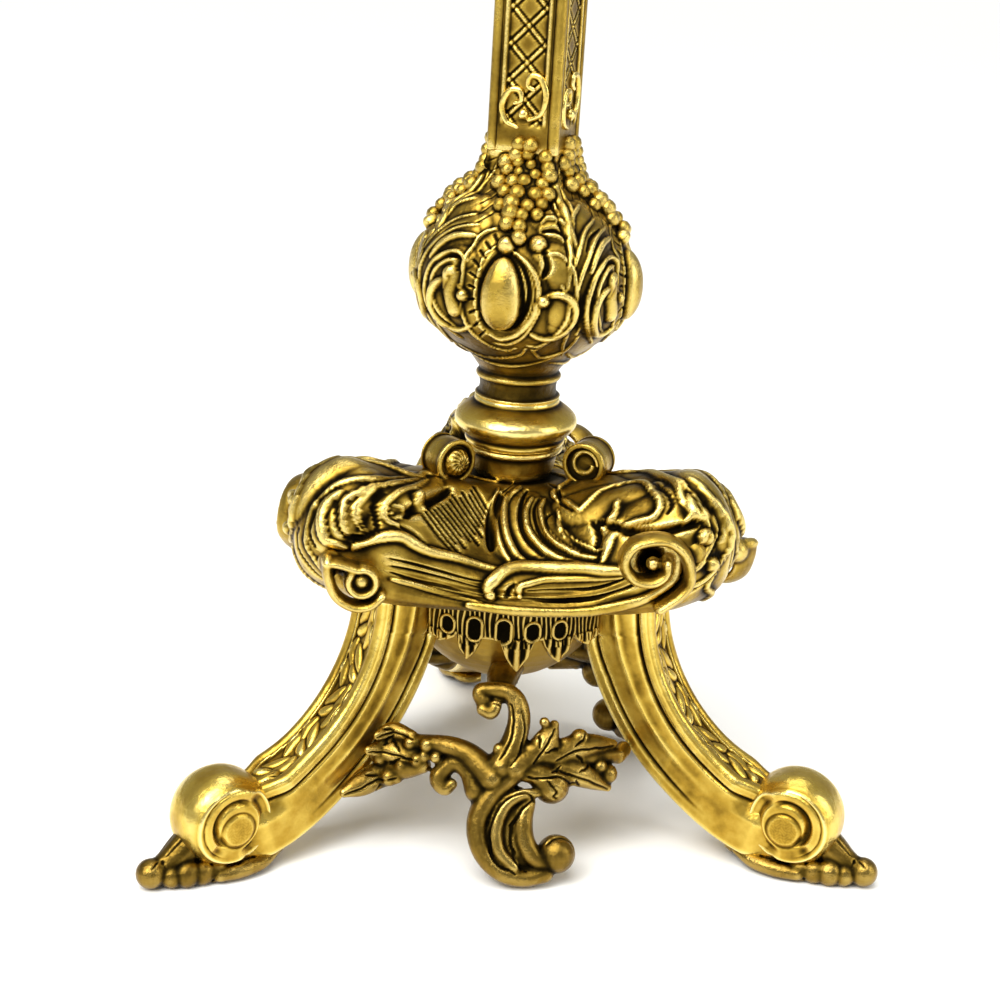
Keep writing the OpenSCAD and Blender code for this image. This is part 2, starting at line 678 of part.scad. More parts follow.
// The block behind the hook reaches in to the bowl
block_z = bracket_top - 2.5;
block_w = 15;
module bowl_block() {
  hull() {
    knob([-11, 64.5, 3]);
    knob([-1, 64, 3]);
    translate([bowl_r * 0.6, -block_w * 0.85, block_z - 3]) cube([2, block_w, 6]);
  }
}
module bracket() {
  color(gilt_dark) difference() {
    union() {
      for (line = [hook, outer_c, inner_c]) strand(line);
      for (line = [left_stem, right_stem, left_curl, left_lobe, left_mass]) strand(line, 0, coarse);
      strand(middle_c, 1, coarse);
      strand(web, -2.5, coarse);
      for (leaf = leaves) strand(leaf, 1, coarse);
      knob(c_ball, 0, 14);
      for (b = berries) knob(b, 1.6, coarse + 1);
      for (i = [0, 1]) rivet_axis(i, 0, lug_len(i), rivet_lug_r);
      bowl_block();
    }
    for (i = [0, 1]) rivet_axis(i, -1, lug_len(i) + 1, small_r + screw_gap);
    for (s = [-1, 1]) rotate(s * 60) translate([0, -leg_side, 0])
      cube([2 * corner_r, 2 * leg_side, leg_h]);
    translate([0, 0, bowl_rim]) sphere(r = bowl_r + side_gap);
  }
}
module bracket_front() {
  rotate(face_dirs[0]) bracket();
}
module bracket_right() {
  rotate(face_dirs[1]) bracket();
}
module bracket_left() {
  rotate(face_dirs[2]) bracket();
}
module rivet_hole_in_leg(s) {
  // Seen from a leg, the neighbouring faces lie 60 degrees to either side
  rotate(s * 60) rivet_axis(s > 0 ? 0 : 1, -rivet_in - 0.5, rivet_in + 0.5, small_r + screw_gap);
}

// Stem: collar, ring knop, baluster and shaft stand on each other and are held by the tie rod
module socket_collar() {
  seat_r = collar_r - 3.5;
  color(gilt) difference() {
    rotate_extrude() polygon([
      [rod_hole, dome_z], [seat_r - 1, dome_z], [seat_r, dome_z + 1.5], [collar_r - 1.6, seam_z - 2.5],
      [collar_r, seam_z - 1.5], [collar_r, seam_z - 0.6], [collar_r - 0.8, seam_z], [rod_hole, seam_z]
    ]);
  }
}
// A half-round moulding drawn as points: from one radius and height to another, bulging by b
function bulge(r0, z0, r1, z1, b, n = 8) =
  [for (i = [0:n]) let (s = i / n) [r0 + (r1 - r0) * s + b * sin(180 * s), z0 + (z1 - z0) * s]];
module ring_knop() {
  color(gilt) rotate_extrude() polygon(concat(
    [[rod_hole, seam_z], [collar_r - 0.8, seam_z], [collar_r, seam_z + 0.6], [collar_r + 0.6, seam_z + 2.6],
     [collar_r + 0.2, seam_z + 3.2]],
    bulge(collar_r + 0.2, seam_z + 3.4, neck_r + 1.4, knop_top - 2,
      knop_r - (collar_r + neck_r + 1.6) / 2, 16),
    [[neck_r + 1.4, knop_top - 1.6], [neck_r + 1, knop_top], [rod_hole, knop_top]]
  ));
}

// Baluster: turned body, with four cartouches. Radius at a share of the height over the neck.
neck_h = 8;
beads_h = 4;
belly = [
  [0, 0.0], [0.06, 0.16], [0.11, 0.42], [0.17, 0.67], [0.24, 0.88], [0.33, 0.985], [0.42, 1], [0.51, 0.97],
  [0.6, 0.86], [0.68, 0.68], [0.76, 0.5], [0.85, 0.3], [0.93, 0.17], [1, 0.1]
];
belly_z = knop_top + neck_h + beads_h;
belly_h = baluster_h - neck_h - beads_h;
function belly_r(s) = neck_r + 1.2 + (baluster_r - neck_r - 1.2) * s;
function belly_at(s) = lookup(s, [for (b = belly) [b[0], belly_r(b[1])]]);
// Each face has an egg-shaped cabochon with its wide end down, a C-scroll at each side, and berries above
panel_turn = 5;
cabochon_s = 0.42;
egg_low_r = 7.8;
egg_high_r = 6;
egg_low = 5;
egg_high = 7;
egg_sunk = 4;
module cabochon() {
  r = belly_at(cabochon_s) - egg_sunk;
  z = belly_z + belly_h * cabochon_s;
  rotate(panel_turn) hull() {
    translate([r, 0, z - egg_low]) sphere(r = egg_low_r, $fn = 20);
    translate([r, 0, z + egg_high]) sphere(r = egg_high_r, $fn = 20);
  }
}
c_scroll_s = 0.36;
c_scroll_r = 9.5;
c_strand_r = 2.4;
c_sunk = 1.8;
c_aside = 24;
c_sweep = 250;
module cartouche_scroll(side) {
  // Part of a ring laid on the belly, open towards the cabochon
  r = belly_at(c_scroll_s) - c_sunk;
  z = belly_z + belly_h * c_scroll_s;
  rotate(panel_turn + side * c_aside) translate([r, 0, z]) rotate([0, 90, 0]) rotate(side > 0 ? -60 : 0)
    rotate_extrude(angle = c_sweep) translate([c_scroll_r, 0]) circle(r = c_strand_r, $fn = 24);
}
grape_r = 2.6;
// Each grape's share of the belly's height, and its distance aside
grapes = [[0.66, -3.4], [0.66, 3.4], [0.72, 0], [0.79, -2.8], [0.79, 2.8], [0.86, 0], [0.93, 0]];
module belly_grapes() {
  for (g = grapes) rotate(atan2(g[1], belly_at(g[0])))
    translate([belly_at(g[0]), 0, belly_z + belly_h * g[0]]) sphere(r = grape_r, $fn = 24);
}
module baluster() {
  top_r = belly_r(0.1);
  color(gilt) rotate(stem_turn) difference() {
    union() {
      rotate_extrude() polygon(concat(
        [[0, knop_top], [neck_r + 1, knop_top], [neck_r + 0.4, knop_top + 1.5], [neck_r, knop_top + 4],
         [neck_r + 0.4, knop_top + neck_h - 1]],
        bulge(neck_r + 0.4, knop_top + neck_h - 0.8, neck_r + 0.6, knop_top + neck_h + 1.4, 1),
        bulge(neck_r + 0.8, knop_top + neck_h + 1.8, neck_r + 1.2, belly_z, 1),
        [for (b = belly) [belly_r(b[1]), belly_z + belly_h * b[0]]],
        [[0, shaft_z]]
      ));
      for (i = [0:faces_of_stem - 1]) rotate(i * 360 / faces_of_stem - 90) {
        cabochon();
        for (side = [-1, 1]) cartouche_scroll(side);
        belly_grapes();
      }
    }
    translate([0, 0, knop_top - 1]) cylinder(r = rod_hole, h = baluster_h + 2);
    rotate_extrude() intersection() {
      translate([0, belly_z + belly_h * 0.42]) circle(r = hollow_r);
      translate([0, knop_top]) square([hollow_r, baluster_h]);
    }
  }
}

bead_at = shaft_a * sqrt(2) - corner_bead_r * 0.72;
module shaft_outline() {
  difference() {
    union() {
      square(2 * shaft_a, center = true);
      for (i = [0:faces_of_stem - 1]) rotate(45 + 90 * i) translate([bead_at, 0])
        circle(r = corner_bead_r, $fn = 24);
    }
    circle(r = shaft_bore_r);
  }
}
module shaft() {
  color(gilt) rotate(stem_turn) translate([0, 0, shaft_z]) linear_extrude(shaft_h) shaft_outline();
}

// Top: ring, capital and nozzle socket, all held down by the upper nut
module upper_ring() {
  color(gilt) rotate_extrude() polygon(concat(
    [[rod_hole, shaft_top], [upper_ring_r - 4, shaft_top]],
    bulge(upper_ring_r - 4, shaft_top + 0.5, upper_ring_r - 5, capital_z - 0.5, 4.5, 14),
    [[upper_ring_r - 5, capital_z], [rod_hole, capital_z]]
  ));
}
capital_line = [
  [0, 0.42], [0.08, 0.4], [0.18, 0.46], [0.32, 0.66], [0.46, 0.88], [0.58, 0.99], [0.68, 1], [0.77, 0.93],
  [0.84, 0.78], [0.9, 0.62], [0.95, 0.54], [1, 0.52]
];
module capital() {
  color(gilt) rotate_extrude() polygon(concat(
    [[rod_hole, capital_z]],
    [for (c = capital_line) [capital_r * c[1], capital_z + capital_h * c[0]]],
    [[rod_hole, socket_z]]
  ));
}
module nozzle_socket() {
  bore = spigot_r + spigot_gap;
  color(gilt) rotate_extrude() polygon(concat(
    [[rod_hole, socket_z], [socket_r - 2, socket_z]],
    bulge(socket_r - 2, socket_z + 1, socket_r - 2.6, socket_z + 7, 2),
    [[socket_r - 4, socket_z + 9], [socket_r - 3.4, socket_top - 7], [socket_r - 1, socket_top - 3],
     [socket_r, socket_top - 2], [socket_r, socket_top], [bore, socket_top],
     [bore, socket_z + socket_floor], [rod_hole, socket_z + socket_floor]]
  ));
}

// Nozzle: the drip pan hangs on the cup's flange, and both lift off together
module drip_pan() {
  eye_r = spigot_r + screw_gap;
  wall_z = pan_z + pan_depth * 0.4;
  color(gilt) rotate_extrude() polygon(concat(
    [[eye_r, pan_z], [pan_r * 0.45, pan_z], [pan_r * 0.72, pan_z + 0.6]],
    [[pan_r - 5, wall_z], [pan_r - 1.4, pan_z + pan_depth - 1]],
    bulge(pan_r - 1.4, pan_z + pan_depth - 1, pan_r - 2.2, pan_z + pan_depth + 1, 1.4),
    [[pan_r - 4.6, pan_z + pan_depth], [pan_r - 7.4, wall_z + pan_t]],
    [[pan_r * 0.7, cup_z + 0.6], [pan_r * 0.45, cup_z], [eye_r, cup_z]]
  ));
}
flange_r = 16;
module candle_cup() {
  color(gilt) difference() {
    rotate_extrude() polygon(concat(
      [[0, pan_z - spigot_h], [spigot_r - 1, pan_z - spigot_h], [spigot_r, pan_z - spigot_h + 1],
       [spigot_r, cup_z], [flange_r, cup_z], [flange_r, cup_z + 1.6], [flange_r - 3, cup_z + 3],
       [flange_r - 7, cup_z + 6]],
      bulge(flange_r - 7, cup_z + 6.4, flange_r - 7, cup_z + 10, 2),
      [[flange_r - 7.4, cup_z + 12], [cup_r - 7, cup_z + 16], [cup_r - 3, cup_z + 21],
       [cup_r - 2, cup_z + 28],
       [cup_r - 3, cup_z + cup_h * 0.66], [cup_r - 4, cup_z + cup_h * 0.8], [cup_r - 2.6, cup_top - 5]],
      bulge(cup_r - 1.4, cup_top - 3.4, cup_r - 1.4, cup_top, 1.4),
      [[0, cup_top]]
    ));
    translate([0, 0, cup_top - candle_depth]) cylinder(r = candle_r, h = candle_depth + 1);
  }
}

// Fasteners
module tie_rod() {
  color(steel) translate([0, 0, rod_bottom]) cylinder(r = rod_r, h = rod_top - rod_bottom);
}
// Under the hub and in the nozzle socket
washer_z = [bowl_seat - washer_t, socket_z + socket_floor];
nut_z = [bowl_seat - washer_t - nut_h, socket_z + socket_floor + washer_t];
module tie_washers() {
  color(steel) for (z = washer_z) translate([0, 0, z]) ring(washer_r, rod_hole, washer_t);
}
module tie_nuts() {
  color(steel) for (z = nut_z) translate([0, 0, z]) difference() {
    cylinder(r = nut_r, h = nut_h, $fn = 6);
    translate([0, 0, -1]) cylinder(r = rod_r + screw_gap, h = nut_h + 2);
  }
}
module leg_screws() {
  color(steel) for (a = leg_dirs, s = [-1, 1]) rotate(a)
    translate([0, s * leg_screw_y, leg_screw_z]) rotate([0, 90, 0]) {
      translate([0, 0, leg_head_out - leg_head_t]) cylinder(r = leg_head_r, h = leg_head_t);
      translate([0, 0, leg_head_out - 1]) cylinder(r = leg_screw_r, h = leg_screw_end - leg_head_out + 1);
    }
}
module apron_screws() {
  color(steel) for (a = face_dirs, s = [-1, 1]) rotate(a + s * lug_turn) {
    translate([apron_lug_r, 0, leg_h - lug_t + 0.1]) {
      cylinder(r = apron_head_r, h = apron_head_t);
      cylinder(r = small_r, h = apron_screw_end - leg_h + lug_t);
    }
  }
}
module foot_screws() {
  color(steel) for (a = leg_dirs) rotate(a) translate([volute_reach, 0, 0]) {
    translate([0, 0, 0.3]) cylinder(r = foot_head_r, h = foot_head_t);
    translate([0, 0, 1]) cylinder(r = small_r, h = foot_screw_end - 1);
  }
}
module bracket_rivets() {
  color(steel) for (a = face_dirs) rotate(a) for (i = [0, 1])
    rivet_axis(i, -rivet_in, rivet_in + lug_len(i), small_r);
}

leg_front_left();
leg_front_right();
leg_rear();
foot_front_left();
foot_front_right();
foot_rear();
hub_bowl();
platform();
apron_front();
apron_right();
apron_left();
bracket_front();
bracket_right();
bracket_left();
socket_collar();
ring_knop();
baluster();
shaft();
upper_ring();
capital();
nozzle_socket();
drip_pan();
candle_cup();
tie_rod();
tie_washers();
tie_nuts();
leg_screws();
apron_screws();
foot_screws();
bracket_rivets();
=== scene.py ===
# %% [markdown]
# # A gilt candle stand
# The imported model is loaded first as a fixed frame. Each piece below is then dressed: it is given the
# ornament and the finish that the real casting has, in the place that the frame gives it.
# Lengths are worked out in millimetres and turned to metres when a mesh is made.

# %% Load the frame
import math
import bpy
import bmesh
import numpy as np
from mathutils import Matrix, Vector


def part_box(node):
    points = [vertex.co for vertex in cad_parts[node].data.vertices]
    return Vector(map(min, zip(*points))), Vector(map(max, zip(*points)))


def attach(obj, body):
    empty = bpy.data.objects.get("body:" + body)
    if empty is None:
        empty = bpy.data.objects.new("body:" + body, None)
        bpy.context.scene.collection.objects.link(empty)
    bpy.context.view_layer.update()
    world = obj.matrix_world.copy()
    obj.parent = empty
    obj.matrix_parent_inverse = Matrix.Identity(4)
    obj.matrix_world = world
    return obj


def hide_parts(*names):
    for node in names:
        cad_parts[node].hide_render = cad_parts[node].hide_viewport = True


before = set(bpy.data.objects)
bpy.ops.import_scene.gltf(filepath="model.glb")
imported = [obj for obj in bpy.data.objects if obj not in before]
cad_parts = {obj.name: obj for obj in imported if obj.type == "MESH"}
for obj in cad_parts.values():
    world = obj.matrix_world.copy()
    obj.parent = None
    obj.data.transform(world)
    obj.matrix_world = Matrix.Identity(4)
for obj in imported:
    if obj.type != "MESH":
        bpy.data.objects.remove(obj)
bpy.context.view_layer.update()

MM = 0.001

# %% [markdown]
# ## Sizes and levels
# The stand is a stack on one axis. Its levels are read from the frame's own pieces, so the dressing
# follows the castings that carry it. Azimuths are in degrees, counted from +X towards +Y.

# %% Read the levels
def low_z(node):
    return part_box(node)[0].z / MM

def high_z(node):
    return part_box(node)[1].z / MM

LEG_TOP, CUP_TOP, SOCKET_TOP = (high_z(node) for node in ("leg_rear", "candle_cup", "nozzle_socket"))
DOME_Z, SEAM_Z, KNOP_TOP, SHAFT_Z, SHAFT_TOP, CAPITAL_Z, SOCKET_Z, PAN_Z = (
    low_z(node) for node in ("socket_collar", "ring_knop", "baluster", "shaft", "upper_ring", "capital",
                             "nozzle_socket", "drip_pan"))
LEG_AZIMUTHS = {"leg_front_left": 210, "leg_front_right": 330, "leg_rear": 90}
FACE_AZIMUTHS = {"front": 270, "right": 30, "left": 150}
FRONT = FACE_AZIMUTHS["front"]
LOBE_AZIMUTH, STEM_TURN = 206, -26
print("levels:", [round(v, 1) for v in (LEG_TOP, DOME_Z, SEAM_Z, KNOP_TOP, SHAFT_Z, SHAFT_TOP, PAN_Z, CUP_TOP)])

# %% [markdown]
# ## The camera
# The picture was taken from close by, a little above the platform, so the view is strongly foreshortened.
# A lens of about 68 mm on a 36 mm sensor, 0.7 m away and tilted 17.5 degrees down, gives the same lines.

# %% Place the camera
def new_object(name, data):
    """An object in the scene that shows the given data."""
    made = bpy.data.objects.new(name, data)
    bpy.context.scene.collection.objects.link(made)
    return made

def place_camera(distance, height, aside, pitch, roll, yaw, lens, shift):
    data = bpy.data.cameras.new("camera")
    data.lens, data.sensor_width = lens, 36
    data.shift_x, data.shift_y = shift
    data.clip_start, data.clip_end = 0.01, 1000
    tilt, turn, lean = (math.radians(v) for v in (pitch, yaw, roll))
    forward = Vector((0, math.cos(tilt), -math.sin(tilt)))
    right = Vector((1, 0, 0))
    up = right.cross(forward)
    across = math.cos(lean) * right + math.sin(lean) * up
    upright = -math.sin(lean) * right + math.cos(lean) * up
    aim = Matrix((across, upright, -forward)).transposed()
    spin = Matrix.Rotation(turn, 3, "Z")
    camera = new_object("camera", data)
    camera.matrix_world = Matrix.Translation(spin @ Vector((aside, -distance, height))) @ (spin @ aim).to_4x4()
    bpy.context.scene.camera = camera
    return camera

camera = place_camera(distance=0.703, height=0.3582, aside=-0.0067, pitch=17.5, roll=3.4, yaw=-7.0,
                      lens=68.4, shift=(0.0049, -0.0277))
print("camera at", [round(v, 3) for v in camera.location])

# %% [markdown]
# ## From points to pieces
# Cast and chased metal is best made as one fine skin: a grid of points laid on the casting's plain shape and
# then pushed in and out along its own normal. The same few helpers serve every piece: one turns a grid
# into a closed mesh, one gives it its place in the object, and one measures how deep each point lies. The
# finish uses that depth for the gilding's dark toning in the hollows and its rubbed brightness on what stands
# proud. It also uses it to paint shade into the hollows and a highlight onto the crests.

# %% Make meshes
def mesh_piece(name, points, faces):
    """A piece from points in mm."""
    mesh = bpy.data.meshes.new(name)
    mesh.from_pydata((np.asarray(points) * MM).tolist(), [], faces)
    mesh.update()
    return new_object(name, mesh)

def outward(piece):
    """Turns every face of a closed mesh outwards."""
    work = bmesh.new()
    work.from_mesh(piece.data)
    bmesh.ops.remove_doubles(work, verts=work.verts, dist=1e-7)
    bmesh.ops.recalc_face_normals(work, faces=work.faces)
    work.to_mesh(piece.data)
    work.free()
    return piece

def grid_faces(across, along, wrap_across=True, wrap_along=False):
    """Faces of a grid whose point (i, j) has the number i * along + j. Either way may close on itself."""
    i = np.arange(across if wrap_across else across - 1)[:, None]
    j = np.arange(along if wrap_along else along - 1)[None, :]
    k, m = (i + 1) % across, (j + 1) % along
    return np.stack([i * along + j, k * along + j, k * along + m, i * along + m], -1).reshape(-1, 4).tolist()

def closed_grid(grid, ends=None):
    """Points and faces of a grid (round, up, xyz), with a fan over each end about its middle or a given point."""
    across, along = grid.shape[:2]
    low, high = ends or (grid[:, 0].mean(0), grid[:, -1].mean(0))
    faces = grid_faces(across, along)
    count = across * along
    for i in range(across):
        k = (i + 1) % across
        faces += [(count, k * along, i * along), (count + 1, (i + 1) * along - 1, (k + 1) * along - 1)]
    return np.vstack([grid.reshape(-1, 3), low, high]), faces

def grid_piece(name, grid):
    """A closed skin from a grid in mm."""
    return outward(mesh_piece(name, *closed_grid(grid)))

def ring_piece(name, grid):
    """A closed skin from a grid that wraps both round and along, as a tube with a bore does."""
    return outward(mesh_piece(name, grid.reshape(-1, 3), grid_faces(*grid.shape[:2], wrap_along=True)))

print("faces of a 4 by 3 grid that wraps round:", len(grid_faces(4, 3)))

# %% Turn and join pieces
def grid_normals(grid):
    normal = np.cross(np.roll(grid, -1, 0) - np.roll(grid, 1, 0), np.gradient(grid, axis=1))
    return normal / np.maximum(np.linalg.norm(normal, axis=-1, keepdims=True), 1e-9)

def polar(reach, angle, height):
    """Points at a distance from the stem's axis, an angle in radians and a height."""
    return np.stack(np.broadcast_arrays(reach * np.cos(angle), reach * np.sin(angle), height), -1)

def turned(points, azimuth):
    """Points turned about the stem's axis by so many degrees."""
    c, s = math.cos(math.radians(azimuth)), math.sin(math.radians(azimuth))
    x, y = points[..., 0], points[..., 1]
    return np.stack([x * c - y * s, x * s + y * c, points[..., 2]], -1)

def join(pieces, name):
    """Several pieces made one object, each still its own closed skin."""
    bpy.ops.object.select_all(action="DESELECT")
    for piece in pieces:
        piece.select_set(True)
    bpy.context.view_layer.objects.active = pieces[0]
    bpy.ops.object.join()
    joined = bpy.context.view_layer.objects.active
    joined.name = joined.data.name = name
    return joined

def apply_modifiers(piece):
    """Puts the outcome of a piece's modifiers in the place of its mesh."""
    made = bpy.data.meshes.new_from_object(piece.evaluated_get(bpy.context.evaluated_depsgraph_get()))
    piece.modifiers.clear()
    old, piece.data = piece.data, made
    bpy.data.meshes.remove(old)

print("a point turned a quarter:", turned(np.array([1.0, 0, 0]), 90).round(3).tolist())

# %% Read and move a piece's points
def read_rows(items, what, columns, kind=float):
    """A property of every vertex or edge, a row for each."""
    values = np.zeros(len(items) * columns, kind)
    items.foreach_get(what, values)
    return values.reshape(-1, columns)

def places(piece):
    return read_rows(piece.data.vertices, "co", 3) / MM

def move_points(piece, points):
    """Puts a piece's points at places given in mm."""
    piece.data.vertices.foreach_set("co", (points * MM).ravel())
    piece.data.update()

def neighbour_mean(values, edges, rounds):
    """Each point's value, smoothed over its neighbours again and again."""
    count = np.bincount(edges.ravel(), minlength=len(values))[:, None]
    for _ in range(rounds):
        total = np.zeros_like(values)
        for c in range(values.shape[1]):
            total[:, c] += np.bincount(edges[:, 0], values[edges[:, 1], c], len(values))
            total[:, c] += np.bincount(edges[:, 1], values[edges[:, 0], c], len(values))
        values = 0.4 * values + 0.6 * total / np.maximum(count, 1)
    return values

def measure_hollows(piece, depth=0.45, rounds=(6, 24)):
    """Stores "hollow" on each point: 0 on a crest, 0.5 on plain metal and 1 in a deep groove."""
    points, edges = places(piece), read_rows(piece.data.edges, "vertices", 2, int)
    normals = read_rows(piece.data.vertices, "normal", 3)
    hollow = np.zeros(len(points))
    for n in rounds:
        smooth = neighbour_mean(points, edges, n)
        hollow += np.einsum("ij,ij->i", smooth - points, normals) / (depth * math.sqrt(n / 6))
    # the material also reads this value as painted light: painted shade where it is high, a painted highlight where it
    # is low
    layer = piece.data.attributes.new("hollow", "FLOAT", "POINT").data
    layer.foreach_set("value", np.clip(0.5 + 0.5 * hollow, 0, 1).astype(np.float32))

def paint_shade(piece, least):
    """Raises the stored hollow value of each point to at least so much, which paints shade where a shadow would fall.
    """
    layer = piece.data.attributes["hollow"].data
    hollow = np.zeros(len(least), np.float32)
    layer.foreach_get("value", hollow)
    layer.foreach_set("value", np.maximum(hollow, least).astype(np.float32))

def finish_piece(piece, body, material, *nodes, **how):
    """Gives a piece its finish, hangs it on a body and hides the castings that it dresses."""
    piece.data.shade_smooth()
    measure_hollows(piece, **how)
    piece.data.materials.clear()
    piece.data.materials.append(material)
    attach(piece, body)
    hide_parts(*nodes)
    print(piece.name, len(piece.data.polygons), "faces")

# %% [markdown]
# ## Chasing tools
# A chaser works with a few punches: one raises a rib, one sinks a groove, one rounds a berry and one lays a
# hatch. A mound is the low swelling of a whole leaf, which carries the other marks. A mark here is a kind, a
# half-width in mm and a line on the piece. Each point of the skin takes its height from the nearest point of
# each line, so marks keep their true width on a curved casting.

# %% Make marks
def smooth_line(line, each=6):
    """More points along a line, on a curve through the given ones."""
    line = np.asarray(line, float)
    if len(line) == 1:
        return line
    if len(line) == 2:
        way = (line[1] - line[0]) * np.linspace(0, 1, each, endpoint=False)[:, None]
        return np.vstack([line[0] + way, line[1:]])
    ends = np.vstack([2 * line[0] - line[1], line, 2 * line[-1] - line[-2]])
    out = []
    for i in range(1, len(ends) - 2):
        p0, p1, p2, p3 = ends[i - 1:i + 3]
        for t in np.linspace(0, 1, each, endpoint=False):
            out.append(0.5 * (2 * p1 + (p2 - p0) * t + (2 * p0 - 5 * p1 + 4 * p2 - p3) * t * t
                              + (3 * p1 - p0 - 3 * p2 + p3) * t ** 3))
    return np.array(out + [ends[-2]])

def line_distance(points, line, width):
    """Distance of each point to a line, and how far along it the nearest place is, from 0 to 1."""
    distance = np.full(len(points), 1e9)
    share = np.zeros(len(points))
    near = np.all((points > line.min(0) - 2 * width) & (points < line.max(0) + 2 * width), axis=1)
    some = points[near]
    if len(some) == 0:
        return distance, share
    if len(line) == 1:
        distance[near] = np.linalg.norm(some - line[0], axis=1)
        return distance, share
    best = np.full(len(some), 1e9)
    place = np.zeros(len(some))
    for i, (a, b) in enumerate(zip(line[:-1], line[1:])):
        d = b - a
        t = np.clip((some - a) @ d / max(d @ d, 1e-9), 0, 1)
        gap = np.linalg.norm(some - a - t[:, None] * d, axis=1)
        closer = gap < best
        best[closer] = gap[closer]
        place[closer] = (i + t[closer]) / (len(line) - 1)
    distance[near], share[near] = best, place
    return distance, share

print("a line of 4 points, smoothed:", len(smooth_line([(0, 0), (1, 2), (3, 2), (4, 0)])), "points")

# %% Strike with punches
# kind: (height over half-width, power of the section, taper at the ends)
PUNCHES = {"rib": (0.85, 0.5, 0.55), "groove": (-1.0, 1.3, 0.6), "berry": (1.0, 0.5, 1.0),
           "boss": (0.6, 0.6, 1.0), "mound": (0.24, 0.9, 0.5), "leaf": (0.62, 0.6, 0.15),
           "hatch": (-0.9, 1.0, 0.9), "nick": (-1.1, 1.0, 1.0)}

def strike(points, marks):
    """Height of the ornament above and below each point, from marks given as (kind, half-width, 3-D line)."""
    base, raised, sunk = np.zeros((3, len(points)))
    for kind, width, line in marks:
        height, power, taper = PUNCHES[kind]
        distance, share = line_distance(points, line, width)
        ends = np.sin(np.pi * np.clip(share, 0.0, 1.0)) ** 0.6 if len(line) > 1 else 1.0
        local = width * (taper + (1 - taper) * ends)
        section = np.clip(1 - (distance / local) ** 2, 0, 1) ** power * local * height
        if kind == "mound":
            base = np.maximum(base, section)
        elif height > 0:
            raised = np.maximum(raised, section)
        else:
            sunk = np.minimum(sunk, section)
    return base + raised, sunk

def chase(piece, points, marks):
    """Moves a piece's points, given in mm, along their normals by the height of the marks."""
    raised, sunk = strike(points, marks)
    move_points(piece, points + read_rows(piece.data.vertices, "normal", 3) * (raised + sunk)[:, None])

def read_marks(text, place, strength=1.0):
    """Marks from rows of a kind, a half-width and points, where place turns a point's two numbers into xyz."""
    marks = []
    for row in text.split("\n"):
        if row and row[0] != "#":
            kind, width, *points = row.split()
            fine = smooth_line([[float(v) for v in p.split(",")] for p in points], 5)
            marks.append((kind, float(width) * strength, place(fine[:, 0], fine[:, 1])))
    return marks

def ease(x, a, b):
    """0 below a, 1 above b, and a smooth way between."""
    t = np.clip((x - a) / (b - a), 0, 1)
    return t * t * (3 - 2 * t)

def bump(x, centre, half):
    """A half-round of height 1."""
    return np.sqrt(np.clip(1 - ((x - centre) / half) ** 2, 0, 1))

def notch(x, centre, half):
    """A soft-edged groove of depth 1."""
    return np.exp(-((x - centre) / half) ** 2)
print("punches:", ", ".join(PUNCHES))

# %% [markdown]
# ## Gilt brass
# The stand is cast brass, chased, gilded and lacquered. The lacquer was toned with a dark olive brown that
# stays in the hollows, while hands have rubbed the crests to a pale gold. So the finish reads the stored
# "hollow" value: pale on crests, golden on plain metal, brown in grooves. These colours are partly that toning
# and wear and partly painted light: painted shade in the hollows and a painted highlight on the crests. A fine
# grain of about 1 mm is left by the casting sand, and a slow swell of a few millimetres breaks up the
# reflections, as hand filing does.

# %% Build the materials
def linear(code):
    """An sRGB hex colour as linear RGBA."""
    parts = [int(code[i:i + 2], 16) / 255 for i in (1, 3, 5)]
    return tuple(p / 12.92 if p <= 0.04045 else ((p + 0.055) / 1.055) ** 2.4 for p in parts) + (1.0,)

def add(tree, kind, values=None, links=None, stops=(), **settings):
    """Adds a node: values set sockets, links feed them from other outputs, stops fill a colour ramp."""
    node = tree.nodes.new(kind)
    for key, value in settings.items():
        setattr(node, key, value)
    for key, value in (values or {}).items():
        node.inputs[key].default_value = value
    for key, output in (links or {}).items():
        tree.links.new(output, node.inputs[key])
    for i, (place, colour) in enumerate(stops):
        band = node.color_ramp.elements
        element = band[i] if i < len(band) else band.new(place)
        element.position = place
        element.color = linear(colour) if isinstance(colour, str) else (colour, colour, colour, 1.0)
    return node

print("a middle grey is", round(linear("#808080")[0], 3), "in linear light")

# %% Build a metal
COLOUR_STOPS, ROUGH_STOPS = (0.0, 0.3, 0.5, 0.62, 0.8, 1.0), (0.2, 0.55, 0.9)
BLOTCH_MM, BLOTCH_SHARE = 14, 0.09

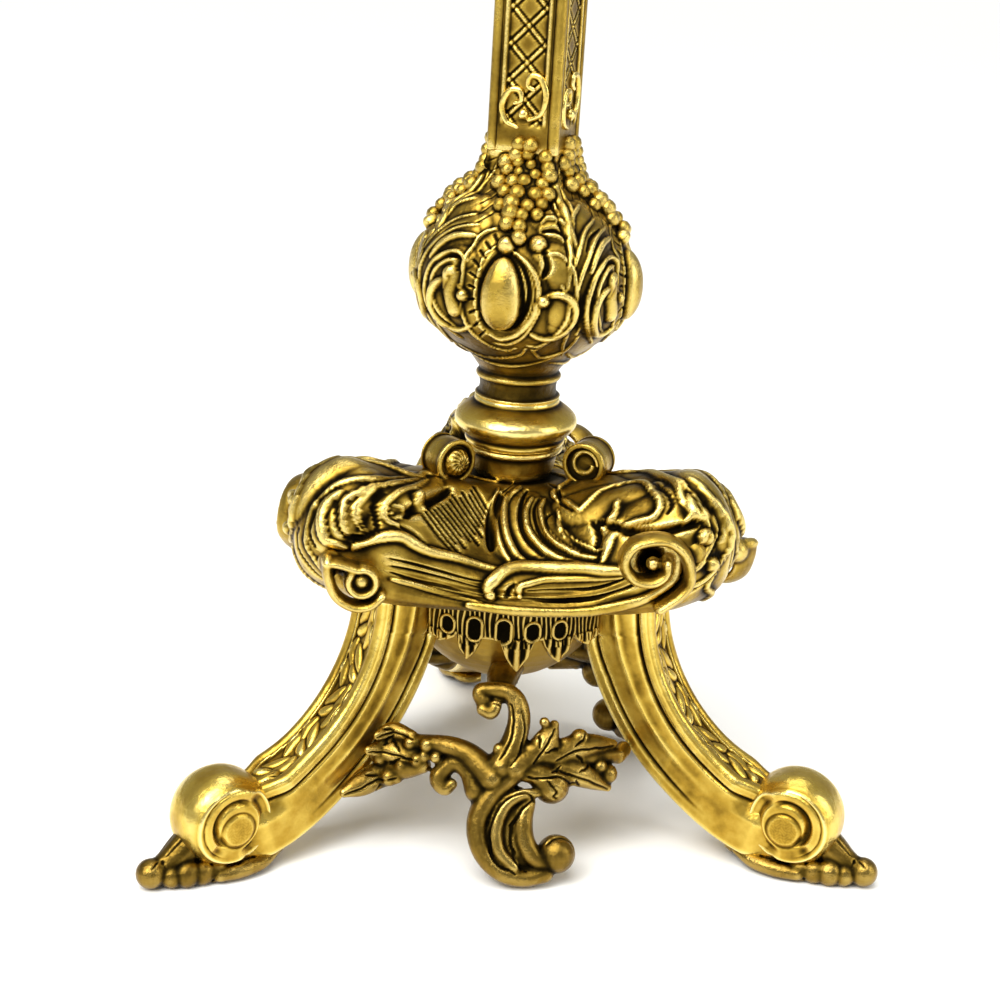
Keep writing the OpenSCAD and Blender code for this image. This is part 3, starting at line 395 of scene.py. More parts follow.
def metal(name, colours, roughness, grain, swell, hollows=True):
    """A metal whose colour and roughness follow the stored hollows, or a slow mottling where none are stored.
    grain and swell are the widths and heights of the two bumps, in mm."""
    material = bpy.data.materials.new(name)
    material.use_nodes = True
    tree = material.node_tree
    shader = tree.nodes["Principled BSDF"].inputs
    shader["Metallic"].default_value = 1.0
    place = {"Vector": add(tree, "ShaderNodeTexCoord").outputs["Object"]}

    def noise(width, detail, roughness=0.5):
        values = {"Scale": 1 / (width * MM), "Detail": detail, "Roughness": roughness}
        return add(tree, "ShaderNodeTexNoise", values, place).outputs["Fac"]

    middle = 0.0 if hollows else 0.5
    spread = {"From Min": 0.35, "From Max": 0.65, "To Min": middle - BLOTCH_SHARE, "To Max": middle + BLOTCH_SHARE}
    toned = add(tree, "ShaderNodeMapRange", spread, {"Value": noise(BLOTCH_MM, 4.0, 0.6)}).outputs[0]
    if hollows:
        # the stored hollow value, added to the random mottling, gives the real toning and wear and also paints shade
        # into hollows and a highlight onto crests
        depth = add(tree, "ShaderNodeAttribute", attribute_name="hollow").outputs["Fac"]
        toned = add(tree, "ShaderNodeMath", {}, {0: depth, 1: toned}, operation="ADD", use_clamp=True).outputs[0]
    for socket, stops in (("Base Color", zip(COLOUR_STOPS, colours)), ("Roughness", zip(ROUGH_STOPS, roughness))):
        ramp = add(tree, "ShaderNodeValToRGB", {}, {"Fac": toned}, stops)
        tree.links.new(ramp.outputs["Color"], shader[socket])
    low = add(tree, "ShaderNodeBump", {"Strength": 1.0, "Distance": swell[1] * MM}, {"Height": noise(swell[0], 2.0)})
    fine = add(tree, "ShaderNodeBump", {"Strength": 1.0, "Distance": grain[1] * MM},
               {"Height": noise(grain[0], 5.0, 0.7), "Normal": low.outputs[0]})
    tree.links.new(fine.outputs[0], shader["Normal"])
    return material

print("ramp stops:", len(COLOUR_STOPS), "for colour,", len(ROUGH_STOPS), "for roughness")

# %% Mix the metals
# Colours from crest to deep groove: pale rubbed gold with a painted highlight, gold, old gold, olive brown, near black
# toning with painted shade
GILT = metal("gilt brass", ("#F8E394", "#DFC05A", "#B39034", "#7A5E1C", "#3C2D0C", "#161005"),
             (0.24, 0.34, 0.6), (0.7, 0.08), (4.0, 0.35))
CHASED = metal("chased gilt brass", ("#E9CF7C", "#B4963E", "#7B6020", "#4D3B11", "#241B08", "#0F0B04"),
               (0.24, 0.36, 0.6), (1.1, 0.22), (3.5, 0.45))
TONED = metal("toned gilt brass", ("#BDA258", "#84692B", "#524014", "#31250B", "#181205", "#0C0903"),
              (0.25, 0.36, 0.6), (0.9, 0.14), (3.0, 0.35))
PLAIN_TONED = metal("toned brass casting", ("#D9B858", "#C9A84B", "#B5933C", "#9C7C30", "#6E5420", "#3A2C0E"),
                    (0.3, 0.4, 0.55), (0.8, 0.06), (6.0, 0.3), hollows=False)
STEEL = metal("plain steel", ("#C8C8C4", "#BDBDB9", "#A9A9A6", "#989894", "#7C7C78", "#5A5A56"),
              (0.28, 0.36, 0.5), (0.5, 0.02), (3.0, 0.05), hollows=False)
print("materials:", ", ".join(material.name for material in (GILT, CHASED, TONED, PLAIN_TONED, STEEL)))

# %% [markdown]
# ## Castings that keep their plain shape
# The hub with its bowl, and the steel fasteners, are as the frame has them: they only need their own finish.

# %% Finish the plain castings
FASTENERS = ("tie_rod", "tie_washers", "tie_nuts", "leg_screws", "apron_screws", "foot_screws", "bracket_rivets")
for node in FASTENERS + ("hub_bowl",):
    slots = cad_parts[node].data.materials
    slots.clear()
    slots.append(STEEL if node in FASTENERS else PLAIN_TONED)
    print("kept:", node)

# %% [markdown]
# ## The legs
# A leg is a thick curved bar that is cast in one with the volute at its lower end. Its outer face has a rolled
# border at each side and a sunk channel with sprays of leaves; each side has a groove, a band with a ridge, and a
# second groove, which die away above the foot. The bar is swept along its own outer arc, ring by ring, with the
# mouldings as part of the ring's shape, and the leaves are chased into it afterwards.

# %% Lay out the leg's arcs
LEG_W = 21.0
ARC_R, ARC_X, ARC_END = 70.52, 135.02, 70.36
VOLUTE_X, VOLUTE_Z, VOLUTE_R, VOLUTE_W = 125.5, 22.5, 18.0, 24.0
HUB_REACH, TENON_REACH, TENON_H, UNDER_R = 32.8, 37.3, 20.0, 105.0
WINDOW = 55

def arc_between(start, end, radius, steps):
    """Points of the arc from start to end that bulges to the left of the way between them."""
    p, q = np.array(start, float), np.array(end, float)
    way = q - p
    length = np.linalg.norm(way)
    centre = (p + q) / 2 + math.sqrt(radius ** 2 - length ** 2 / 4) * np.array([-way[1], way[0]]) / length
    a, b = (math.atan2(*(point - centre)[::-1]) for point in (p, q))
    t = a + (b - a) * np.linspace(0, 1, steps)
    return centre + radius * np.stack([np.cos(t), np.sin(t)], 1)

underside = arc_between((TENON_REACH, LEG_TOP - TENON_H), (VOLUTE_X - 15.5, VOLUTE_Z - 17.0), UNDER_R, 60)
leg_underside = np.vstack([[(HUB_REACH, LEG_TOP), (HUB_REACH, LEG_TOP - TENON_H)], underside,
                           [(VOLUTE_X + 6, VOLUTE_Z - 17.4)]])

def leg_depth(angle):
    """How thick the leg is, measured straight in from its outer arc at this angle."""
    out = np.array([math.cos(angle), math.sin(angle)])
    start = np.array([ARC_X, LEG_TOP]) + ARC_R * out
    found = []
    for a, b in zip(leg_underside[:-1], leg_underside[1:]):
        side, gap = b - a, a - start
        cross = out[0] * side[1] - out[1] * side[0]
        if abs(cross) > 1e-9:
            t = (gap[0] * side[1] - gap[1] * side[0]) / cross
            s = (gap[0] * out[1] - gap[1] * out[0]) / cross
            if -0.001 <= s <= 1.001 and 5 < t < 40:
                found.append(t)
    return min(found, default=np.nan)

ring_share = np.linspace(0, 1.16, 210)
ring_depth = np.array([leg_depth(angle) for angle in np.radians(180 + ARC_END * ring_share)])
known = ~np.isnan(ring_depth)
ring_depth = np.interp(ring_share, ring_share[known], ring_depth[known])
even_depth = np.convolve(np.pad(ring_depth, WINDOW // 2, mode="edge"), np.ones(WINDOW) / WINDOW, mode="valid")
print("a leg is", round(ring_depth.min(), 1), "to", round(ring_depth.max(), 1), "mm thick")

# %% Shape the leg ring by ring
BORDER_W, FACE_DEPTH, UNDER_ROUND = 4.9, 1.7, 2.2

def leg_section(share, depth, even):
    """Outline of one ring, as the distances across and the depths under the outer arc. even places the grooves."""
    half = LEG_W / 2 + 1.75 * ease(share, 0.74, 1.0) - 3.0 * ease(share, 1.05, 1.15)
    narrow = 3.6 * ease(share, 0.9, 1.02)
    fade = 1 - ease(share, 0.6, 0.92)
    y = np.linspace(narrow - half, half - narrow, 85)
    edge = half - narrow - np.abs(y)
    channel = ease(edge, BORDER_W, 5.7) * ease(share, 0.01, 0.04) * (1 - ease(share, 0.9, 0.98))
    outer = np.where(edge < BORDER_W, FACE_DEPTH - 2.1 * bump(edge, 2.5, 2.5), 0.3 + 1.3 * channel)
    deep = FACE_DEPTH + (depth - FACE_DEPTH) * np.linspace(0, 1, 62)[1:-1]
    side = 0.8 * bump(deep, 2.6, 2.8) - 1.3 * notch(deep, 6.0, 0.75) * (1 - 0.6 * ease(share, 0.8, 1.0))
    ridge, groove = notch(deep, 0.47 * even, 1.5), notch(deep, 0.78 * even, 0.8)
    side += fade * (0.7 * ridge - 1.2 * groove - 0.5 * ease(deep, 0.5 * even, 0.74 * even))
    side -= (2.0 * (1 - bump(deep, depth - UNDER_ROUND, 2.21)) * (deep > depth - UNDER_ROUND)
             + narrow * (1 - ease(deep, 5.0, 13)))
    side = half - 0.55 + side
    x = np.concatenate([outer, deep, np.full(20, depth), deep[::-1]])
    w = np.concatenate([y, side, np.linspace(side[-1], -side[-1], 22)[1:-1], -side[::-1]])
    return w, x

def leg_point(share, across, depth=0.0):
    """A point of the leg, at a share of its arc, a distance across and a depth under its outer face."""
    angle = np.radians(180 + ARC_END * np.asarray(share))
    reach = ARC_R + depth
    return np.stack(np.broadcast_arrays(ARC_X + reach * np.cos(angle), across, LEG_TOP + reach * np.sin(angle)), -1)

rings = [leg_point(share, *leg_section(share, depth, even))
         for share, depth, even in zip(ring_share, ring_depth, even_depth)]
leg_grid = np.stack(rings, 1)
print("leg grid:", leg_grid.shape[:2])

# %% Chase leaf sprays down the channel
# A spray is four curved leaves from one stem: (mm down the leg, mm across) at root, middle and tip
SPRAY = [[(0, 2.8), (6, 3.6), (12, 1.0)], [(2, 1.4), (7, -1.0), (12, -4.4)],
         [(7, 3.0), (13, 3.8), (20, 1.8)], [(10, 1.2), (14, -1.8), (16, -4.6)]]
SPRAYS, SPRAY_STEP, FIRST_SPRAY = 5, 16.6, 3
ARC_MM = ARC_R * math.radians(ARC_END)

leg_marks = []
for i in range(SPRAYS):
    for leaf in SPRAY:
        line = smooth_line(leaf, 5)
        down, across = FIRST_SPRAY + i * SPRAY_STEP + line[:, 0], (-1) ** i * line[:, 1]
        leg_marks += [("leaf", 2.2, leg_point(down / ARC_MM, across, 1.5)),
                      ("nick", 0.4, leg_point(down / ARC_MM, across, 1.0)[1:-2])]
raised, sunk = strike(leg_grid.reshape(-1, 3), leg_marks)
leg_grid = leg_grid - grid_normals(leg_grid) * (raised + sunk).reshape(leg_grid.shape[:2])[..., None]
print("leaf relief up to", round(float(raised.max()), 2), "mm")

# %% [markdown]
# ## The volutes
# The lower end of a leg rolls up like a shell. Seen from the side, a wide smooth rim runs from under the leg round
# the front and over the top, where a crescent rolls in over a deep groove, and a plain little disc sits inside it.
# That is a barrel turned about the leg's cross axis, with its two ends carved by the distance from their middle.

# %% Carve the volutes and cast the legs
def about_cross_axis(x, z, rho, theta, y):
    """Points at a distance and an angle about the line that runs across a leg through (x, z)."""
    return np.stack(np.broadcast_arrays(x + rho * np.cos(theta), y, z + rho * np.sin(theta)), -1)

def volute_relief(rho, theta):
    """Relief of a volute's end in mm, at a distance and an angle from its middle."""
    degrees = (np.degrees(theta) + 90) % 360 - 90
    over_top = ease(degrees, -78, -35) * (1 - ease(degrees, 100, 135))
    path = 11.4 + 1.0 * np.sin(np.radians(degrees - 40))
    deep_front = 0.6 + 0.4 * np.cos(np.radians(degrees - 20))
    band = 1.0 * bump(rho, path, 1.9) - 2.1 * deep_front * notch(rho, path - 3.0, 1.35)
    under_leg = ease(degrees, 118, 145) * (1 - ease(degrees, 236, 262)) * ease(rho, 9.5, 12.0)
    x, z = rho * np.cos(theta) + 1.5, rho * np.sin(theta) + 2.0
    disc = np.hypot(x, z)
    rough = 0.03 * np.sin(2.3 * x + 2.4 * np.sin(1.3 * z)) * np.sin(2.9 * z + 2.2 * np.sin(1.7 * x))
    boss = (0.5 + rough) * (1 - ease(disc, 5.2, 6.6)) - 0.3 * notch(disc, 6.9, 0.5)
    fold = notch(np.hypot(x - 8.5, z + 6.0), 0, 2.2)
    return band * over_top + boss - 1.4 * fold - 2.2 * under_leg

def volute_grid():
    half = VOLUTE_W / 2
    rim = [(VOLUTE_R * (1 - 0.2 * abs(t) ** 3), t * (half - 0.8)) for t in np.linspace(-1, 1, 29)]
    flat = [(VOLUTE_R * 0.8 * s, half) for s in np.linspace(1, 0.03, 50)]
    rho, across = np.array([(r, -y) for r, y in flat[::-1]] + rim[1:-1] + flat).T[:, None, :]
    theta = np.linspace(0, 2 * np.pi, 168, endpoint=False)[:, None]
    on_end = np.abs(across) > half - 0.01
    across = across + np.sign(across) * on_end * (volute_relief(rho, theta) - 0.3)
    return about_cross_axis(VOLUTE_X, VOLUTE_Z, rho, theta, across)

for node, azimuth in LEG_AZIMUTHS.items():
    parts = [grid_piece(name, turned(grid, azimuth)) for name, grid in (("bar", leg_grid), ("volute", volute_grid()))]
    finish_piece(join(parts, "scroll_" + node), "stand", GILT, node)

# %% [markdown]
# ## Cast scrolls and leaves
# Brackets, feet and scroll ends are free sculpture: strands that swell, curl and run into one another. Each is
# laid out as a line with a radius at each point. The strands are then melted together with a voxel remesh
# and smoothed a little, which rounds every meeting as molten metal does, and chased with the same punches.

# %% Strands that melt together
UP = np.array([0, 0, 1.0])

def tube(line, radii, sides=14, flat=None, squeeze=0.5):
    """Points and faces of a closed tube along a line. flat is a direction in which it is made thinner."""
    smooth = smooth_line(np.column_stack([line, radii]), 5)
    line, radii = smooth[:, :3], np.maximum(smooth[:, 3], 0.25)
    way = np.gradient(line, axis=0)
    way /= np.maximum(np.linalg.norm(way, axis=1, keepdims=True), 1e-9)
    cap = np.array([0.35, 0.7, 0.92])
    first = [line[0] - way[0] * radii[0] * math.sqrt(1 - c * c) for c in cap]
    last = [line[-1] + way[-1] * radii[-1] * math.sqrt(1 - c * c) for c in cap[::-1]]
    line = np.vstack([first, line, last])
    radii = np.concatenate([radii[0] * cap, radii, radii[-1] * cap[::-1]])
    way = np.vstack([np.tile(way[0], (3, 1)), way, np.tile(way[-1], (3, 1))])
    side = np.cross(way[0], [0.3, 0.2, 1.0])
    rings = []
    theta = np.linspace(0, 2 * np.pi, sides, endpoint=False)[:, None]
    for p, r, w in zip(line, radii, way):
        side = side - w * (side @ w)
        side /= max(np.linalg.norm(side), 1e-9)
        ring = r * (np.cos(theta) * side + np.sin(theta) * np.cross(w, side))
        if flat is not None:
            ring = ring - np.outer(ring @ flat, flat) * (1 - squeeze)
        rings.append(p + ring)
    return closed_grid(np.stack(rings, 1), (line[0], line[-1]))

def ball(centre, radius, stretch=(1, 1, 1)):
    tilt = np.linspace(0.02, np.pi - 0.02, 14)
    grid = polar(np.sin(tilt), np.linspace(0, 2 * np.pi, 22, endpoint=False)[:, None], -np.cos(tilt))
    return closed_grid(grid * radius * np.array(stretch) + np.array(centre))

def melt(name, parts, azimuth=0, voxel=0.55, rounds=2, marks=()):
    """One skin round all the parts, turned to an azimuth, smoothed, and chased with marks."""
    points, faces, start = [], [], 0
    for p, f in parts:
        points.append(turned(p, azimuth))
        faces += [tuple(v + start for v in face) for face in f]
        start += len(p)
    piece = outward(mesh_piece(name, np.vstack(points), faces))
    tool = piece.modifiers.new("melt", "REMESH")
    tool.mode = "VOXEL"
    tool.voxel_size = voxel * MM
    apply_modifiers(piece)
    co = neighbour_mean(places(piece), read_rows(piece.data.edges, "vertices", 2, int), rounds)
    move_points(piece, co)
    if marks:
        chase(piece, co, [(kind, width, turned(line, azimuth)) for kind, width, line in marks])
    return piece

print("faces of a plain bead:", len(ball((0, 0, 0), 1)[1]))

# %% [markdown]
# ## The feet
# Under each volute lies a leafy toe: a boat-shaped pad, flat below, whose leaf rises to the volute's front, rounded
# lobes along its sides, and a ball at its tip.

# %% Cast the feet
def at_volute(rows):
    """Rows of a place that is counted outwards from the volute's middle."""
    return np.array(rows) + [VOLUTE_X, 0, 0]

foot_parts = [tube(at_volute([(-19, 0, 5.0), (-8, 0, 4.0), (5, 0, 4.0), (15, 0, 4.4)]), [8.2, 9.8, 9.6, 7.6],
                   flat=UP, squeeze=0.42),
              tube(at_volute([(11, 0, 15.5), (16, 0, 11.4), (21, 0, 8.0), (26, 0, 6.2)]), [6.6, 6.4, 5.4, 4.4]),
              ball((VOLUTE_X + 28.0, 0, 5.8), 5.6)]
# lobes: (out, aside, height), radius and stretch. cuts: (out, aside) at the top, and (out, height) at the bottom
LOBES = [((21.0, 3.4, 4.6), 5.0, (1.0, 0.9, 0.92)), ((16.0, 5.6, 5.0), 5.8, (0.95, 0.8, 0.9)),
         ((10.5, 7.2, 4.6), 5.4, (0.95, 0.7, 0.85)), ((5.5, 8.2, 4.2), 5.0, (1.0, 0.6, 0.84))]
HEEL_LINE = [(-20, 7.4, 5.6), (-12, 10.2, 4.2), (-3, 10.9, 3.6), (5, 10.0, 3.4)]
CUTS = [((13.0, 8.4), (14.0, 0.8)), ((18.4, 6.4), (19.0, 0.8)), ((23.6, 4.8), (23.8, 0.8)),
        ((7.8, 10.2), (8.2, 0.8)), ((-2.0, 11.4), (-3.4, 1.0)), ((-9.0, 10.6), (-10.6, 1.0))]
VEINS = [(0.8, [(13, 2.2, 20.6), (18, 2.6, 16.6), (23.4, 2.0, 11.6)]),
         (0.6, [(26, 2.0, 11.0), (29, 3.4, 9.6), (31.5, 3.4, 6.0)])]
foot_marks = []
for s in (-1, 1):
    mirror = [1, s, 1]
    foot_parts += [ball(at_volute(np.array(place) * mirror), radius, stretch) for place, radius, stretch in LOBES]
    foot_parts.append(tube(at_volute(np.array(HEEL_LINE) * mirror), [1.6, 2.8, 3.0, 2.6]))
    lines = [(0.9, [(out + 1.4, aside * 0.5, 11.5), (out, aside * 0.9, 6.5), (low_out, aside, low)])
             for (out, aside), (low_out, low) in CUTS]
    foot_marks += [("groove", width, smooth_line(at_volute(np.array(line) * mirror))) for width, line in lines + VEINS]

for leg, azimuth in LEG_AZIMUTHS.items():
    node = leg.replace("leg", "foot")
    piece = melt("leaf_" + node, foot_parts, azimuth, marks=foot_marks)
    move_points(piece, np.maximum(places(piece), [-np.inf, -np.inf, 0]))
    finish_piece(piece, "stand", TONED, node)

# %% [markdown]
# ## The brackets
# Between each pair of legs hangs an openwork bracket: a hook that springs from the bowl, a heavy C-scroll
# with a ball in its mouth, and two arms of leaves and berries that reach back to the legs. It lies on a sloped
# sheet, so its lines are given as (across, height, radius) on the sheet, and then bent to it.

# %% Lay the bracket's strands on their sheet
BRACKET_TOP, BRACKET_R = LEG_TOP - 31, 49.0
SHEET_OUT = np.array([0.912, 0.0, 0.41])
BOLD = 1.12

def on_sheet(rows, lift=0.0):
    rows = np.asarray(rows, float)
    y, z = rows[:, 0], rows[:, 1]
    sheet = BRACKET_R + (BRACKET_TOP - z) * 0.45 - 0.0095 * y * y
    beside = (LEG_W / 2 + 2.3 + np.abs(y) / 2) / math.cos(math.radians(30))
    return np.stack([np.maximum(sheet, beside) + lift, y, z], 1)

def strand(rows, lift=0.0, swell=BOLD, **how):
    rows = np.asarray(rows, float)
    return tube(on_sheet(rows, lift), rows[:, 2] * swell, **how)

# each strand of the hook and the C-scroll: how far it is lifted off the sheet, and its rows
scroll_strands = [
    (0, [(-12, 63, 3), (-13.5, 66, 2.8), (-9, 67, 2.8), (-3, 66.5, 3), (0.5, 62.5, 3.6), (1, 56, 4), (-1.5, 48.5, 4.4),
         (-5.5, 41.5, 5.4)]),
    (0.4, [(13.6, 34.6, 6.2), (8.4, 39.0, 4.6), (2, 40.5, 3.6), (-5, 36, 3.9), (-11, 29.5, 4), (-14, 22, 3.8),
           (-13, 14.5, 3.6), (-9, 9, 3.4), (-3, 5.5, 3.2), (4, 4.5, 3.0), (11, 5.5, 3.2)]),
    (2.4, [(8.5, 33.5, 1.6), (2, 33, 2.0), (-4.0, 29.5, 2.3), (-7.4, 22, 2.4), (-6.4, 14.5, 2.3), (-1, 9, 2.0)]),
    (0.6, [(4.5, 29.5, 2.8), (2.8, 24, 3.4), (3.4, 17, 3.5), (7.5, 11, 3.6), (14, 9, 3.9)]),
    (-2.6, [(1, 30, 4), (-2, 22, 4.2), (0, 12, 4.2), (7, 7, 3)])]
arms = [
    [(-9, 37.5, 4.4), (-17, 44, 3.4), (-24, 46, 2.8), (-31, 45.5, 2.5), (-38, 44, 2.3), (-44, 42, 2.1), (-50, 38, 2.2)],
    [(-14.5, 32.5, 3.2), (-17, 38.5, 2.8), (-21.5, 41.0, 2.6), (-25.5, 38.5, 2.4), (-28.0, 34.6, 2.8),
     (-26.0, 31.6, 2.2), (-23.4, 33.4, 1.6)],
    [(-1, 41.5, 4.4), (7, 45, 3.4), (17, 43.5, 3.1), (29, 42, 2.5), (41, 39, 2.2)],
    [(-34, 37.5, 2.4), (-41, 34, 2.8), (-47, 33, 2.6)]]
# leaves: a middle line, how wide the blade is, and its place on the sheet
leaf_blades = [
    [(-36, 40, 3.0), (-42, 39.8, 4.2), (-49, 40, 3.6), (-54, 41, 1.8)],
    [(-44, 31.5, 3.2), (-50, 29.4, 4.6), (-57, 27.4, 4.0), (-63, 26, 1.8)],
    [(-38, 46.6, 2.2), (-45, 47, 3.0), (-51, 46.2, 1.6)],
    [(6, 44, 3.6), (9.5, 48, 4.6), (12.5, 52, 3.8), (14.5, 55.4, 1.8)],
    [(15, 44.4, 3.6), (22, 46.6, 4.6), (30, 46.2, 3.8), (39, 44.2, 1.6)],
    [(16, 40.6, 3.6), (23, 38.0, 4.4), (30, 34.2, 3.4), (36.5, 30, 1.6)],
    [(4, 39.6, 3.0), (12, 38.4, 3.8), (19, 36.4, 2.8), (23, 35, 1.4)]]
leaf_lobes = [(6, 45.5, 5.2), (12, 48.5, 4.8), (19, 46.8, 4.4), (26, 46, 4.0), (33, 44.4, 3.2), (10, 39.5, 4.4),
              (17, 38.6, 4.4), (24, 36.6, 4.0)]
berry_rows = [(-38.5, 44.5, 2.3), (-32.5, 45.5, 2.4), (-36, 39.5, 2.4), (-46, 30.5, 2.8), (-6.5, 48, 2),
              (-10.5, 42.5, 2), (36.5, 35, 3), (24.5, 50, 2.8), (-33.5, 41.5, 2.0), (-29.5, 42.0, 1.8),
              (-41.5, 36.0, 2.3), (10.5, 57, 1.6), (33, 38.5, 2.2)]
bracket_parts = [strand(rows, lift) for lift, rows in scroll_strands]
bracket_parts += [ball(on_sheet([(15.5, 11.5)], 0.4)[0], 7.3),
                  tube([(26, 0, BRACKET_TOP - 1), (38, -4, BRACKET_TOP - 2), (48, -6, BRACKET_TOP - 4.5)],
                       [6.4, 6.2, 4.2], flat=UP, squeeze=0.75),
                  strand([(-8, 62, 2.4), (-9.5, 59.8, 2.6), (-12.4, 60.6, 2.4)], 1.0)]
bracket_parts += [strand(line, 0, BOLD * 1.25) for line in arms]
bracket_parts += [ball(on_sheet([row], 0.9)[0], row[2], (0.7, 1, 1)) for row in leaf_lobes]
bracket_parts += [strand(line, 1.4, flat=SHEET_OUT, squeeze=0.75) for line in leaf_blades]
bracket_parts += [ball(on_sheet([row], 2.2)[0], row[2] * BOLD * 1.12) for row in berry_rows]
for y, z in ((-50, 37), (41, 39)):
    root = on_sheet([(y, z)])[0]
    side = np.array([math.cos(math.radians(30)), -math.copysign(0.5, y), 0.0])
    reach = root @ side - LEG_W / 2 - 0.35
    bracket_parts.append(tube([root, root - side * (reach - 3.0)], [3.4, 3.4]))

print(len(bracket_parts), "strands, leaves and berries in a bracket")

# %% Cast and chase the brackets
def nearest_on(skin, line, pull=6.0):
    """Moves a line onto the nearest points of a casting, so that a chased line keeps its depth."""
    out = []
    for p in line:
        gap = np.linalg.norm(skin - p, axis=1)
        k = gap.argmin()
        out.append(skin[k] if gap[k] < pull else p)
    return np.array(out)

def sheet_groove(width, lift, line):
    return "groove", width, on_sheet(smooth_line(line, 3), lift)

bracket_veins = []
for blade in leaf_blades:
    mid = np.array(blade)[:, :2]
    bracket_veins.append(sheet_groove(0.75, 4.0, mid))
    way = (mid[-1] - mid[0]) / np.linalg.norm(mid[-1] - mid[0])
    across = np.array([-way[1], way[0]])
    for s in (-1, 1):
        bracket_veins.append(sheet_groove(0.7, 3.4, [mid[1] + s * across, mid[1] + 2.2 * way + 2.6 * s * across,
                                                     mid[1] + 3.4 * way + 4.6 * s * across]))
bracket_veins += [
    sheet_groove(0.8, 4.4, [(10, 29.5), (3, 34.6), (-4.5, 32), (-9.8, 25), (-10.4, 17), (-6.4, 10.4), (0, 7.5)]),
    sheet_groove(0.9, 4.0, [(6, 31.5), (0.2, 27.6), (-2.3, 21.5), (-1.2, 14.5), (4, 9.4)]),
    sheet_groove(0.7, 4.0, [(-9, 64.3), (-3.5, 63.6), (-1.6, 58.5), (-2.6, 51.5), (-6, 45)]),
    sheet_groove(0.6, 4.4, [(1.4, 62), (3.2, 55.5), (1.2, 48.4), (-2.2, 43.4)]),
    sheet_groove(0.9, 4.0, [(11.5, 16.5), (15.6, 18.0), (19.6, 15.4), (20.6, 11.0)])]

for face, azimuth in FACE_AZIMUTHS.items():
    piece = melt("leaf_bracket_" + face, bracket_parts, azimuth, voxel=0.58)
    skin = places(piece)
    chase(piece, skin, [(k, w, nearest_on(skin, turned(line, azimuth))) for k, w, line in bracket_veins])
    finish_piece(piece, "stand", TONED, "bracket_" + face)

# %% [markdown]
# ## The platform
# The platform is one casting, lofted between a low moulded edge in the middle of each face and a high leafy
# lobe over each leg. Its ornament is the same on each face, so it is written down once for the front face: the
# kind of punch, the half-width in mm, and points given as the azimuth from the face's middle and the step of
# the profile, counted from the underside up.

